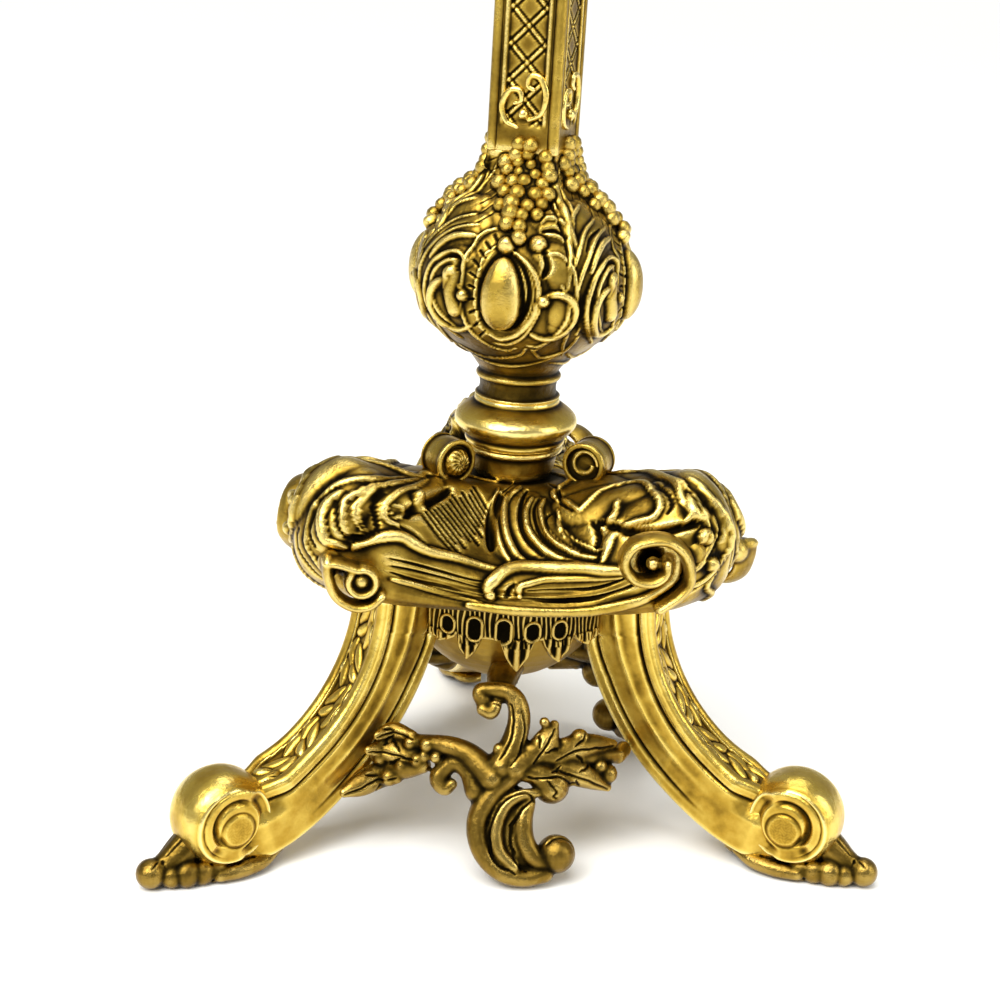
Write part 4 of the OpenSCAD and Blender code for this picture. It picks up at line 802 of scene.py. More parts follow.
# %% Write down the platform's ornament
# the leaves' own swellings and the deep valleys between them
PLATFORM_MOUNDS = """
mound 6 -60,12.5 -55,10.5 -54,8 -58,5.5
mound 5 -50,13.5 -48,11.5 -47,9.6
mound 4 -16,14 -12,12 -6,10.4
mound 4.5 -2,14 0,12.4 8,10.6
mound 5 10,13.8 10,12.2 18,10.2
mound 5.5 24,13 30,12.6 42,12.6 50,12
mound 6 66,13.4 60,11.6 54,9.4 53,6.6
groove 1.6 -43,13.4 -41.5,11.6 -42,10.2
groove 1.6 -17.5,14 -19,12.6 -15,10.8
groove 1.5 29,11.2 36,9.2 46,8.4
"""
PLATFORM_MARKS = """
# leaf edges and curls, left to right
rib 2.1 -70.5,10.1 -72.5,9.1 -70.5,8.5
rib 0.8 -68,5.3 -71,3.3 -66,2 -64,1.2 -59,1
rib 0.8 -57,13.6 -53.5,12.4 -52.5,11 -55.5,10.2 -58,9.4 -59.5,8.5 -60.5,7.7 -60.5,6.9
rib 0.7 -60.5,6.9 -60.5,5.8 -59,4.7 -57,3.7 -54,3
rib 1.4 -55.5,9.1 -57,8.4 -57,7.7 -55.5,6.9 -54,6.4 -50.5,6.4
rib 0.8 -53.5,13.4 -51,12.5 -50,11.3 -51.5,10.4 -52.5,9.6 -53.5,8.9 -52.5,8.2 -51,7.5 -49.5,7.1
rib 0.9 -51,10.5 -51,9.9 -51,9.1 -50,8.5 -47.5,8
rib 0.8 -51,13.2 -47.5,12.1 -47,10.8 -47,10.2 -46,9.6 -44,9.3 -42,9.4
rib 1.4 -48.5,6.6 -46,7.5 -43,8.3 -40,8.8 -36.5,8.8 -32.5,8.9 -24,9.4 -9.5,9.3
rib 0.5 -45.5,10.2 -44.5,10.4 -43,10.4 -43,9.9 -44,9.6 -45,9.9
rib 0.8 -40,4.8 -34.5,4.7 -26.5,4.1 -15,3.3
rib 0.7 -20.5,14.7 -20,13.2 -16,12.1 -10.5,10.8 -6.5,10.1
rib 1.2 -19.5,2.8 -10.5,2.5 -1.5,2.2 16,2 27.5,2.8 35,3.8 39,5 40,6.5 40,7.6 39,8.5
rib 1.7 -12,4.5 -13.5,7 -11.5,8.3 -7,9.4 0.5,9.7 10.5,9.4 19,8.7 25,7.8 29.5,7.2
rib 1 2.5,15.2 -10.5,13.8 -11.5,12.8 -9,11.7 -4.5,10.7 0,10.2
rib 0.8 -2,4.8 -2.5,7.4 0.5,8 7,8.4 16,8 23.5,7.2 28,6.7
rib 0.9 11,13.8 4.5,13.1 3,12.1 7,11.1 12,10.2 18,9.3 23,8.4
rib 0.8 19,13.7 14,12.9 13,11.8 15.5,10.8 19,10 23,9.2
rib 0.7 22,12.8 19,11.8 20,10.9 22.5,10.2 25,9.6
rib 0.9 28,12.2 33.5,12.6 40,13 46,12.9 50,12.6 45,11.5 42,10.4 39,10 36,10.2 32,10.3 27.5,9.9 24,8.6
rib 0.8 24,8.5 27,9.4 30,10.1 33.5,10.1
rib 0.8 90,16 30,14.4 27.5,13 28,12.2
rib 1 37.5,11.9 32.5,11.1 28.5,10.8
rib 0.7 50,7.3 47.5,6.4 44,5.6 40.5,5.2
rib 0.9 53,10.8 52.5,9.1 54,7.7 54,6.6 51.5,5.3 47,4.2 42.5,3.9
rib 1 68,14.3 64.5,13.6 67,12.9 55.5,12.1 47.5,10.3 46,9.1 43.5,8.7
rib 0.8 53,11.6 48.5,9.9 48.5,8.5 48.5,7.6
# grooves between the leaves
groove 0.6 -63.5,6.2 -64,4.7 -61.5,3.4 -59,2.5 -55,2.2
groove 0.7 -59,8.4 -59.5,7.6 -59.5,6.7 -59,6.1 -57,5.5
groove 0.6 -54.5,9.3 -54.5,8.5 -53.5,8 -52.5,7.5 -50.5,7.1
groove 0.5 -51.5,9.8 -51,9.1 -50,8.5 -48,8.1 -46.5,7.8
groove 1.1 -50.5,7.1 -47,7.5 -45,8.3
groove 0.8 -49,10.5 -48.5,9.6 -46.5,9 -44.5,8.3
groove 0.7 -41.5,9.4 -38,9.4 -33.5,9.1
groove 0.5 -41,6.9 -35,7.3 -27,7.7 -15,7.9
groove 0.5 -40.5,6.3 -34.5,6.6 -26.5,6.9 -15.5,6.7
groove 0.5 -40.5,5.6 -34.5,5.4 -26.5,5.5 -15,4.7
groove 0.4 -4,16 -16,14.2 -16,12.9 -12.5,11.8 -8,10.7 -4.5,10.2
groove 0.8 -7,4.7 -6,6.9 -4.5,7.9
groove 0.7 -1,4.7 10.5,4.2 21,4.2 28.5,5 33,6.1
groove 0.7 8.5,14.7 0.5,13.4 -1,12.3 2,11.3 8,10.4
groove 0.5 0.5,6.8 9,6.8 21,6.1 27,6.3 31,6.8
groove 0.6 15.5,13.7 9.5,12.9 9,11.8 12.5,10.8 16.5,10.2
groove 0.5 19,12.7 14.5,12.3 14,11.5 16.5,10.7
groove 0.8 19,11.5 20.5,10.6 23.5,9.7 25,9.4
groove 1 28,11.4 27,10.5 24.5,9.8
groove 0.7 34,15.3 26,13.5 26.5,12.4
groove 0.7 33,10 36,9.6 39,9
groove 0.6 53,5.9 49.5,4.2 43.5,3.4 38.5,3.1
groove 0.7 55,12.8 47.5,11.5 44.5,10.2 42,9.8
groove 1.2 47.5,7.6 46,6.9 43.5,6.5
groove 0.7 50.5,9.2 51.5,7.8 50,6.9 46.5,6.1
groove 0.6 49.5,10.4 48,9.1 47.5,8.3
# berries
berry 2.1 -73,7.5
berry 1.8 -71.5,5.5
berry 2.2 -42.5,11.4
"""
print(sum(row[:1].isalpha() for row in (PLATFORM_MOUNDS + PLATFORM_MARKS).split("\n")), "marks on a face")

# %% Loft the platform
EDGE, CORNER, LOBE_H, DOME_H, COLLAR_R, SNAIL_R = 61.0, 92.0, 49.0, DOME_Z - LEG_TOP, 18.7, 31.0
edge_inset = (10, 3, -0.2, -0.4, 1.6, 1.2, 2.2, 1.4, 2, 5, 10, 17, 24, 31, 37)
edge_rise = (0, 1.2, 3.2, 5, 6.6, 8.4, 9.2, 11.2, 13.4, 15.8, 18.2, 21.8, 26, 30.4, DOME_H - 2.4)
edge_profile = [(EDGE - inset, rise) for inset, rise in zip(edge_inset, edge_rise)]
edge_profile += [(COLLAR_R + 1.5, DOME_H), (COLLAR_R - 3.5, DOME_H)]
corner_share_of_h = (0, 0.06, 0.16, 0.25, 0.34, 0.43, 0.53, 0.65, 0.77, 0.88, 0.955, 1, 0.95, 0.89, 0.88)
corner_inset = (19, 11, 5, 2.4, 0.9, 0.2, 0, 1, 3.4, 7.4, 12.5, 19, 28, 40, 51)
corner_profile = [(CORNER - a, LOBE_H * b) for a, b in zip(corner_inset, corner_share_of_h)]
corner_profile += [(SNAIL_R - 4, DOME_H + 3), (COLLAR_R - 3.5, DOME_H)]
edge_fine, corner_fine = (np.maximum(smooth_line(rows, 10), 0) for rows in (edge_profile, corner_profile))

def lobe_share(azimuth):
    """0 in the middle of a face, and 1 over a leg's lobe."""
    return ((1 + np.cos(np.radians(3 * (azimuth - LOBE_AZIMUTH)))) / 2) ** 1.6

def platform_point(azimuth, step):
    """A point of the plain platform, at an azimuth in degrees and a step of the profile from 0 to 16."""
    azimuth, step = np.broadcast_arrays(np.asarray(azimuth, float), np.asarray(step, float))
    share, at = lobe_share(azimuth), np.arange(len(edge_fine)) / 10
    r, z = (np.interp(step, at, edge_fine[:, c]) * (1 - share) + np.interp(step, at, corner_fine[:, c]) * share
            for c in (0, 1))
    return polar(r, np.radians(azimuth), LEG_TOP + z)

def chased_grid(grid, marks_at, folds, bump_height=None, deeper=1.0, fade=1.0):
    """Pushes a grid along its normals. marks_at(turn) gives the marks turned by so many degrees; the ornament
    is worked out for one of the folds only and then repeated."""
    across = grid.shape[0] // folds
    sector = grid[:across].reshape(-1, 3)
    raised, sunk = np.zeros((2, len(sector)))
    for turn in (-360 / folds, 0, 360 / folds):
        up, down = strike(sector, marks_at(turn))
        raised, sunk = np.maximum(raised, up), np.minimum(sunk, down)
    height = (raised + sunk).reshape(across, -1) * deeper
    if bump_height is not None:
        height = height + bump_height[:across]
    height = np.tile(height, (folds, 1)) * fade
    return grid + grid_normals(grid) * height[..., None]

STEPS_ROUND = 540
azimuths = FRONT - 60 + np.arange(STEPS_ROUND) * 360 / STEPS_ROUND
steps = np.linspace(0, 16, 172)
plain = platform_point(azimuths[:, None], steps)
reeds = (0.55 * lobe_share(azimuths) * np.cos(np.radians(30 * (azimuths - LOBE_AZIMUTH))))[:, None]
reeds = reeds * (np.sin(np.pi * np.clip(steps / 12, 0, 1)) * (steps < 12))
print("platform grid:", plain.shape[:2])

# %% Chase the platform
def ruled(first, last, count):
    """Straight lines laid evenly between a first and a last one."""
    first, last = np.array(first, float), np.array(last, float)
    return [smooth_line(first + (last - first) * t, 24) for t in np.linspace(0, 1, count)]

LEFT_EYE = (58.8, -59.8, LEG_TOP + 14)
RIGHT_EYE = (65.5, 44.2, LEG_TOP + 24.6)

def on_platform(y, z, turn):
    """The one point of the front that lies y to the right of its middle, at the height z."""
    step = np.linspace(3, 9, 200)
    azimuth = np.linspace(0, 50, 200)
    found = platform_point(FRONT + azimuth[:, None], step)
    i, j = np.unravel_index((np.hypot(found[..., 0] - y, found[..., 2] - z)).argmin(), (200, 200))
    return platform_point(np.array([FRONT + azimuth[i] + turn]), step[j])

def platform_marks(turn):
    marks = read_marks(PLATFORM_MOUNDS + PLATFORM_MARKS, lambda a, k: platform_point(FRONT + a + turn, k), 1.6)
    # the hatched ground over the dome's left part
    for i, line in enumerate(ruled([(-37, 14.3), (-15, 12.3)], [(-46, 11.4), (-24, 9.4)], 14)):
        line = line[i * 2 % 5:24 - i * 3 % 7]
        marks.append(("hatch", 0.9, platform_point(FRONT + line[:, 0] + turn, line[:, 1])))
    marks.append(("groove", 6.5, on_platform(RIGHT_EYE[1], RIGHT_EYE[2], turn)))
    return marks

platform = grid_piece("platform_cap", chased_grid(plain, platform_marks, 3, reeds, 1.15))
finish_piece(platform, "stand", CHASED, "platform")

# %% [markdown]
# ## Edge scrolls and snail volutes
# At each end of a face the leaf edge rolls up into a scroll with a ball beside it. These are bands that stand
# about 10 mm deep. On the three ridges sit snail volutes: short barrels, hollow at one end and domed at the
# other, as the tip of a rolled leaf is.

# %% Roll the scrolls and turn the snails
def scroll_band(centre, line, radius, depth=2.4):
    """A band across a face: a line in mm to the right of and above the scroll's eye, thick along the face's way."""
    rows = np.asarray(line, float)
    points = np.stack([np.full(len(rows), centre[0]), centre[1] + rows[:, 0], centre[2] + rows[:, 1]], 1)
    return tube(points, np.full(len(rows), radius), flat=np.array([1.0, 0, 0]), squeeze=depth)

left_flap = [(-12.5, 7.5), (-12.0, 1.0), (-9.0, -6.0), (-3.0, -9.8), (3.4, -9.2), (7.4, -5.4)]
left_line = [(-13, 7), (-8, 6.4)]
left_line += [(4.9 * math.cos(t), 4.9 * math.sin(t)) for t in np.radians(np.arange(110, -230, -25))]
right_line = [(3.6, -16.9), (9.6, -12.3), (13.6, -7.1), (13.3, -0.6), (10.4, 5.2), (5.0, 8.9), (-1.6, 9.2),
              (-7.5, 7.1), (-10.4, 2.6), (-9.8, -2), (-6.0, -6.0), (0.4, -6.6), (4.6, -3.4), (5.0, 0.8)]
scroll_parts = [scroll_band(LEFT_EYE, left_line, 1.9, 2.8), scroll_band(LEFT_EYE, left_flap, 2.1, 2.4),
                scroll_band(RIGHT_EYE, right_line, 2.3, 2.4),
                ball(LEFT_EYE, 3.4, (1.2, 1, 1)), ball(RIGHT_EYE, 2.6, (1.2, 1, 1)),
                ball((54.4, -70.8, LEG_TOP + 19), 4.9), ball((59.6, 60.1, LEG_TOP + 27), 4.8),
                tube([(53, -66.5, LEG_TOP + 16), (50, -60, LEG_TOP + 12)], [2.6, 3.6]),
                tube([(57, 56, LEG_TOP + 25), (50, 50, LEG_TOP + 21)], [2.6, 4.0]),
                tube([(53, -59.8, LEG_TOP + 14), (44, -57, LEG_TOP + 14)], [5.4, 7.4])]

def snail(azimuth):
    """A skin of revolution about the snail's own cross axis."""
    r, half = 8.5, 6.5
    cup = [(-half + 2.4, 0.15), (-half + 2.2, 4.2), (-half + 1.6, 6.2), (-half + 0.2, 6.7), (-half, 7.4),
           (-half + 0.3, 8.2)]
    barrel = [(-half + 1.2, r), (-half + 2.0, r - 0.7), (-1.5, r - 0.3), (half - 2.6, r - 0.4), (half - 1.6, r),
              (half - 0.5, r), (half, 7.6)]
    dome = [(half - 0.3, 6.9), (half - 1.8, 6.3), (half - 1.4, 5.4), (half + 0.2, 4.9), (half + 1.6, 3.7),
            (half + 2.3, 2.0), (half + 2.5, 0.15)]
    y, rho = smooth_line(cup + barrel + dome, 4).T
    theta = np.linspace(0, 2 * np.pi, 96, endpoint=False)[:, None]
    rough = (y > half - 0.6) & (rho < 5.0)
    y = y + rough * 0.35 * np.sin(2.1 * rho + 5 * theta) * np.cos(7 * theta)
    coil = notch(rho - 5.2 + 0.33 * theta, 0, 0.5) * (y < -half + 2.6)
    return grid_piece("snail", turned(about_cross_axis(SNAIL_R, DOME_Z + 10, rho, theta, y - 0.8 * coil), azimuth))

snails = join([snail(azimuth) for azimuth in LEG_AZIMUTHS.values()], "snail_volutes")
finish_piece(snails, "stand", CHASED, "platform")
for face, azimuth in FACE_AZIMUTHS.items():
    finish_piece(melt("edge_scrolls_" + face, scroll_parts, azimuth, voxel=0.6), "stand", CHASED, "platform")

# %% [markdown]
# ## The bulb
# The baluster's body is turned to a plain bulb and then chased on four sides with the same panel: a smooth egg in
# a ribbed frame, C-scrolls and leaf curls beside it, and a bunch of grapes above. The panel is written down as the
# platform's ornament is, with the azimuth from the panel's middle and the height above the neck's beads in mm.

# %% Write down the bulb's ornament
# the leaves' own swellings
BULB_MOUNDS = """
mound 4.5 -14,57 -30,52 -42,43 -47,31
mound 4 -15,46 -28,44 -36,34 -30,22
mound 3.5 -24,64 -38,60 -45,52
mound 4 28,50 38,47 43,38 38,24
mound 3.5 27,60 38,58 46,51
mound 5 14,81 12,72 10,62
"""
BULB_MARKS = """
# leaf edges and curls, left to right
rib 0.4 -55,81 -54,75 -51,67.5 -49,59.5 -48,51.5 -49,43 -51,35 -52,28
rib 0.4 -14,56.5 -26,54 -35,49.5 -42,43 -46,35.5 -48,28.5 -46,22.5 -45,16 -38,10
rib 0.5 -29,64 -41,60.5 -47,55 -47,49
rib 0.4 -20,60 -33,56.5 -41,51 -47,44.5
rib 0.4 -41,74 -37,67.5 -40,61.5 -44,54
rib 0.5 -13,45 -20,47 -27,45.5 -34,42 -38,36 -39,30 -36,24 -30,19 -21,15
rib 0.4 -38,5.5 -2,3.5 31,5.5 49,10.5
rib 0.6 -13,53 -24,51.5 -32,48 -37,43
rib 0.4 -34,10.5 -18,7.5 2,8 18,10.5 22,14
rib 0.4 -20,44.5 -26,43 -32,38.5 -33,32.5 -30,26.5 -24,21.5 -17,19
rib 0.4 13,54.5 7,56.5 -2,56.5 -10,53.5 -14,47 -15,40 -15,32.5 -14,25.5 -10,18.5 -2,14 9,12.5 16,14
rib 0.3 2,51.5 -4,48 -6,42 -7,34.5 -6,28 -4,21.5 0,18.5
rib 0.5 12,49.5 19,46.5 24,42 26,36.5 25,30 22,25 16,20 7,17.5 1,19
rib 0.4 27,36 27,31 24,25 19,19 11,15.5 2,15.5
rib 0.4 37,39 41,33.5 41,27.5 37,21 30,15.5 22,15.5
rib 0.4 26,13.5 35,9.5 49,12.5 52,19
rib 0.5 27,59 31,60.5 40,59.5 47,55.5 48,50.5
rib 0.4 28,49 36,49 42,45.5 44,40.5 45,33.5 42,26 36,19 28,13
rib 0.4 30,55.5 39,54 43,50 46,44.5
rib 0.4 57,77 52,66.5 53,55.5 53,46.5 54,36 52,27.5 50,20
# grooves between the leaves
groove 0.4 -56,74.5 -53,67.5 -52,61 -49,52 -50,45.5
groove 0.4 -22,56 -32,53.5 -38,49.5
groove 0.6 -18,41 -18,45 -24,45.5 -29,43
groove 0.6 13,48.5 18,44 21,38.5 21,32 18,26 12,21.5 4,21
groove 0.5 28,56.5 36,56.5 42,54
groove 0.7 28,50.5 30,45.5 28,42
# leaf nicks
nick 0.3 -11,36.5 -7,36
nick 0.3 -11,31.5 -7,32
nick 0.3 -11,41 -6,39.5
nick 0.3 -10,45.5 -6,43.5
nick 0.3 -10,26.5 -6,28
nick 0.3 -8,49 -4,47
nick 0.3 -8,21.5 -4,24
nick 0.3 -6,52 -2,50
nick 0.3 -6,17.5 -2,20
nick 0.3 -2,54.5 2,52
# fine hatch
hatch 0.2 -46,77 -21,81.5
hatch 0.2 -45,75 -8,69
hatch 0.2 -38,73.5 -18,79.5
hatch 0.2 -35,73.5 -6,67
hatch 0.2 -32,70 -16,76.5
hatch 0.2 -27,71.5 -5,65
hatch 0.2 -27,66.5 -12,73.5
hatch 0.2 -22,63 -10,70
hatch 0.2 -21,70 -3,63
hatch 0.2 -19,60 -7,67
hatch 0.2 -16,56.5 -4,64
hatch 0.2 -15,68 -2,61
"""
print(sum(row[:1].isalpha() for row in (BULB_MOUNDS + BULB_MARKS).split("\n")), "marks on a panel")

# %% Turn the bulb
NECK_R, BULB_R = 14.8, 40.5
SHAFT_A, SHAFT_CORNER = 13.0, 18.3  # from the stem's axis to the middle of a side, and to a corner
PANEL = FRONT + STEM_TURN
EGG_Z, EGG_W, EGG_H, EGG_RISE, EGG_AZIMUTH = 34.6, 7.3, 13.4, 4.4, 6.8
BULB_Z = KNOP_TOP + 12
BULB_H = SHAFT_Z - BULB_Z
bulb_shape = [(0, 0.0), (0.06, 0.16), (0.11, 0.42), (0.17, 0.67), (0.24, 0.88), (0.33, 0.985), (0.42, 1), (0.51, 0.97),
              (0.6, 0.86), (0.68, 0.68), (0.76, 0.5), (0.85, 0.3), (0.93, 0.17), (1, 0.1)]
bulb_fine = smooth_line(bulb_shape, 8)

def bulb_radius(z):
    share = np.interp((z - BULB_Z) / BULB_H, bulb_fine[:, 0], bulb_fine[:, 1])
    return NECK_R + 1.2 + (BULB_R - NECK_R - 1.2) * share

def squared(azimuth, z, radius):
    """The bulb's radius, which turns from round to the shaft's rounded square over the last 22 mm."""
    off = np.radians((azimuth - PANEL + 45) % 90 - 45)
    square = np.minimum(SHAFT_A / np.cos(off), SHAFT_CORNER)
    share = ease(z, SHAFT_Z - 22, SHAFT_Z - 1)
    return radius + (square - radius) * share

def bulb_point(azimuth, z):
    return polar(squared(azimuth, z, bulb_radius(z)), np.radians(azimuth), z)

neck_rows = [(KNOP_TOP + up, NECK_R + out)
             for up, out in ((0, 1.0), (0.7, 1.5), (1.6, 0.3), (4, -0.2), (6.8, 0.3), (7.6, 1.2), (8.8, 1.4),
                             (10.2, 0.3), (11.6, 0.9))]
neck_fine = smooth_line(neck_rows, 4)
levels = np.linspace(BULB_Z, SHAFT_Z, 200)[1:]
heights, radii = np.vstack([neck_fine, np.stack([levels, bulb_radius(levels)], 1)]).T
STEPS_ROUND = 400
azimuths = (PANEL - 45 + np.arange(STEPS_ROUND) * 360 / STEPS_ROUND)[:, None]
plain = polar(squared(azimuths, heights, radii), np.radians(azimuths), heights)
span = np.radians((azimuths - PANEL + 45) % 90 - 45 - EGG_AZIMUTH) * radii
rise = heights - BULB_Z - EGG_Z
wide = span / (1 - 0.012 * rise)
egg = np.clip(1 - (wide / EGG_W) ** 2 - (rise / EGG_H) ** 2, 0, 1) ** 0.55 * EGG_RISE
moat = -1.1 * notch(np.sqrt((wide / (EGG_W + 1.0)) ** 2 + (rise / (EGG_H + 1.2)) ** 2), 1, 0.09)
print("bulb grid:", plain.shape[:2])

# %% Chase the bulb
def around(centre_azimuth, centre_z, radius, start, sweep, curl=0.45, steps=48):
    """A scroll laid on the bulb: part of a ring that curls in towards its end."""
    way = np.linspace(0, 1, steps)
    t = np.radians(start + sweep * way)
    reach = radius * (1 - curl * way ** 2)
    r = float(bulb_radius(centre_z))
    return bulb_point(centre_azimuth + np.degrees(reach * np.cos(t) / r), centre_z + reach * np.sin(t))

def bulb_marks(turn):
    marks = read_marks(BULB_MOUNDS + BULB_MARKS, lambda az, z: bulb_point(PANEL + az + turn, BULB_Z + z), 2.1)
    middle = BULB_Z + 0.36 * BULB_H
    left = around(PANEL + turn - 20.5, middle, 10.5, -50, -275)
    right = around(PANEL + turn + 32.5, middle, 10.5, -125, 250, 0.55)
    marks += [("rib", 1.6, left), ("rib", 1.6, right), ("berry", 2.3, left[-1:]), ("berry", 2.3, right[-1:])]

    def mark(kind, width, line):
        marks.append((kind, width, bulb_point(PANEL + turn + line[:, 0], BULB_Z + line[:, 1])))

    mark("berry", 3.2, np.array([(7, 51.5)]))
    mark("berry", 3.2, np.array([(25, 52.5)]))
    mark("boss", 3.4, np.array([(-21.0, 39.0), (-21.5, 33.0), (-19.0, 27.0)]))
    for side in (-1, 1):
        corner = [(45 * side, BULB_H), (45 * side, BULB_H - 14), (46 * side, BULB_H - 26), (50 * side, BULB_H - 38)]
        mark("rib", 1.5, smooth_line(corner, 8))
    return marks

fade = 1 - ease(heights, SHAFT_Z - 5, SHAFT_Z)
skin = grid_piece("chased_bulb", chased_grid(plain, bulb_marks, 4, egg + moat, 1.2, fade))
finish_piece(skin, "stand", CHASED, "baluster")

# %% [markdown]
# ## The shaft
# The shaft is a square tube with a round bead down each corner. Each side is a sunk panel in a thin raised frame,
# engraved with a trellis of doubled diagonal lines. Near its foot a pair of thin C-scrolls faces a small ball.

# %% Engrave the shaft
SHAFT_BORE = 9.0
BEAD_AT, BEAD_R = 11.5, 2.2
TRELLIS = 13.0

def shaft_side():
    """One side of the square's outline from corner to corner: across, out, and how far in from the corner bead."""
    turn = np.radians(np.linspace(45, -60, 12, endpoint=False))
    bead = np.stack([BEAD_AT + BEAD_R * np.sin(turn), BEAD_AT + BEAD_R * np.cos(turn)], 1)
    face = np.stack([np.linspace(9.5, -9.5, 44), np.full(44, SHAFT_A)], 1)
    other = bead[:0:-1] * np.array([-1, 1])
    line = np.vstack([bead, face, other])
    edge = np.concatenate([np.zeros(len(bead)), 9.5 - np.abs(face[:, 0]), np.zeros(len(other))])
    return line[:, 0], line[:, 1], edge

def trellis_height(across, z, edge):
    """Height of the engraving on a side, in mm."""
    inside = ease(edge, 2.2, 2.8)
    panel = ease(z, 3.0, 6.0)
    height = 0.5 * bump(edge, 1.3, 0.8) - 0.45 * ease(edge, 2.0, 2.5)
    for sign in (-1, 1):
        phase = (z + sign * across) / TRELLIS
        gap = np.abs(phase - np.round(phase)) * TRELLIS / math.sqrt(2)
        height = height + inside * (0.25 * notch(gap, 0, 0.5) - 0.6 * notch(gap, 1.05, 0.42))
    return height * panel

side_across, side_out, side_edge = (row[:, None] for row in shaft_side())
levels = np.linspace(SHAFT_Z, SHAFT_TOP, 290)
out = side_out + trellis_height(side_across, levels - SHAFT_Z - 6, side_edge)
panel = np.stack(np.broadcast_arrays(out, -side_across, levels), -1)
grid = np.concatenate([turned(panel, STEM_TURN - 90 + 90 * i) for i in range(4)], 0)
bore = np.linspace(0, 2 * np.pi, len(grid), endpoint=False) + math.radians(STEM_TURN - 135)
inner = polar(SHAFT_BORE, bore[:, None], np.array([SHAFT_TOP, SHAFT_Z]))
shaft = ring_piece("engraved_shaft", np.concatenate([grid, inner], 1))
finish_piece(shaft, "stand", CHASED, "shaft")

def on_side(line, side, lift=0.0):
    rows = np.asarray(line, float)
    flat = np.stack([np.full(len(rows), SHAFT_A + lift), rows[:, 0], SHAFT_Z + rows[:, 1]], 1)
    return turned(flat, STEM_TURN - 90 + 90 * side)

# Two facing C-scrolls and a ball: mm across the side, mm above the shaft's foot, radius
left_curl = [(-2.0, 9.0, 0.9), (-6.4, 11.0, 1.1), (-8.2, 16.5, 1.3), (-5.6, 21.8, 1.3), (-1.8, 22.2, 1.2),
             (-1.0, 18.8, 1.0), (-3.4, 17.6, 0.9)]
right_curl = [(2.4, 12.0, 0.9), (6.8, 14.6, 1.1), (8.4, 21.0, 1.3), (6.0, 27.0, 1.3), (2.2, 27.6, 1.2),
              (1.2, 24.2, 1.0), (3.6, 22.8, 0.9)]
curls = []
for side in range(4):
    for line in (left_curl, right_curl):
        curls.append(tube(on_side(line, side, 0.2), [row[2] for row in line], sides=10))
    curls.append(ball(on_side([(0.2, 14.0)], side, 0.4)[0], 2.0))
finish_piece(melt("shaft_curls", curls, voxel=0.45, rounds=1), "stand", GILT, "shaft")

# %% [markdown]
# ## Grapes and pearls
# Grapes and pearls repeat one bead, each in its own size. They are laid out by a Geometry Nodes tree: it takes
# bare points that carry a "size", puts a bead on each, scales it and gives it its metal. The grapes hang in a
# tight bunch over each egg and lap onto the shaft's foot. They lie in staggered rows, each a little out of its
# place and of its own size, and stand out most in the middle of the bunch.

# %% Build the bead tree
def bead_tree():
    tree = bpy.data.node_groups.new("beads on points", "GeometryNodeTree")
    face = tree.interface
    face.new_socket("Geometry", in_out="INPUT", socket_type="NodeSocketGeometry")
    face.new_socket("Metal", in_out="INPUT", socket_type="NodeSocketMaterial")
    face.new_socket("Geometry", in_out="OUTPUT", socket_type="NodeSocketGeometry")
    given = add(tree, "NodeGroupInput").outputs
    size = add(tree, "GeometryNodeInputNamedAttribute", {"Name": "size"}, data_type="FLOAT")
    bead = add(tree, "GeometryNodeMeshUVSphere", {"Segments": 10, "Rings": 6, "Radius": 1.0})
    round_bead = add(tree, "GeometryNodeSetShadeSmooth", {}, {"Geometry": bead.outputs["Mesh"]})
    laid = add(tree, "GeometryNodeInstanceOnPoints", {},
               {"Points": given["Geometry"], "Instance": round_bead.outputs[0], "Scale": size.outputs["Attribute"]})
    real = add(tree, "GeometryNodeRealizeInstances", {}, {"Geometry": laid.outputs[0]})
    shaded = add(tree, "GeometryNodeSetMaterial", {}, {"Geometry": real.outputs[0], "Material": given["Metal"]})
    add(tree, "NodeGroupOutput", {}, {"Geometry": shaded.outputs[0]})
    return tree

BEADS = bead_tree()

def lay_beads(name, points, sizes, material):
    """Beads on points, as a plain mesh. sizes are their radii in mm."""
    piece = mesh_piece(name, points, [])
    sizes = (np.asarray(sizes) * MM).astype(np.float32)
    piece.data.attributes.new("size", "FLOAT", "POINT").data.foreach_set("value", sizes)
    tool = piece.modifiers.new("beads", "NODES")
    tool.node_group = BEADS
    sockets = {item.name: item.identifier for item in BEADS.interface.items_tree if item.in_out == "INPUT"}
    tool[sockets["Metal"]] = material
    apply_modifiers(piece)
    piece.data.name = name
    return piece

print("bead tree:", len(BEADS.nodes), "nodes")

# %% Hang the grapes
BUNCH = [4.0, 7.0, 8.5, 9.5, 9.5, 9.0, 8.0, 6.5, 4.5, 2.5]  # half-width of each row in mm, from the top down
BUNCH_TOP, ROW_STEP, GRAPE_R, LEAN = 84.0, 3.3, 2.9, 13

def bunch(azimuth0):
    """Middles and radii of one bunch of grapes."""
    pick = np.random.default_rng(7)
    middles, radii = [], []
    for row, half in enumerate(BUNCH):
        for x in np.arange(-half + (row % 2) * 0.85 * GRAPE_R, half + 0.1, 1.65 * GRAPE_R):
            z = BULB_Z + BUNCH_TOP - ROW_STEP * row + pick.uniform(-0.7, 0.7)
            reach = np.hypot(*bulb_point(azimuth0, z)[:2])
            foot = bulb_point(azimuth0 + LEAN + math.degrees((x + pick.uniform(-0.6, 0.6)) / reach), z)
            out = np.array([0.8 * foot[0], 0.8 * foot[1], 0.6 * reach]) / reach
            radius = GRAPE_R * pick.uniform(0.75, 1.1) * (1 + 0.015 * row)
            middles.append(foot + out * radius * (0.6 * (1 - (x / (half + 2)) ** 2)))
            radii.append(radius)
    return middles, radii

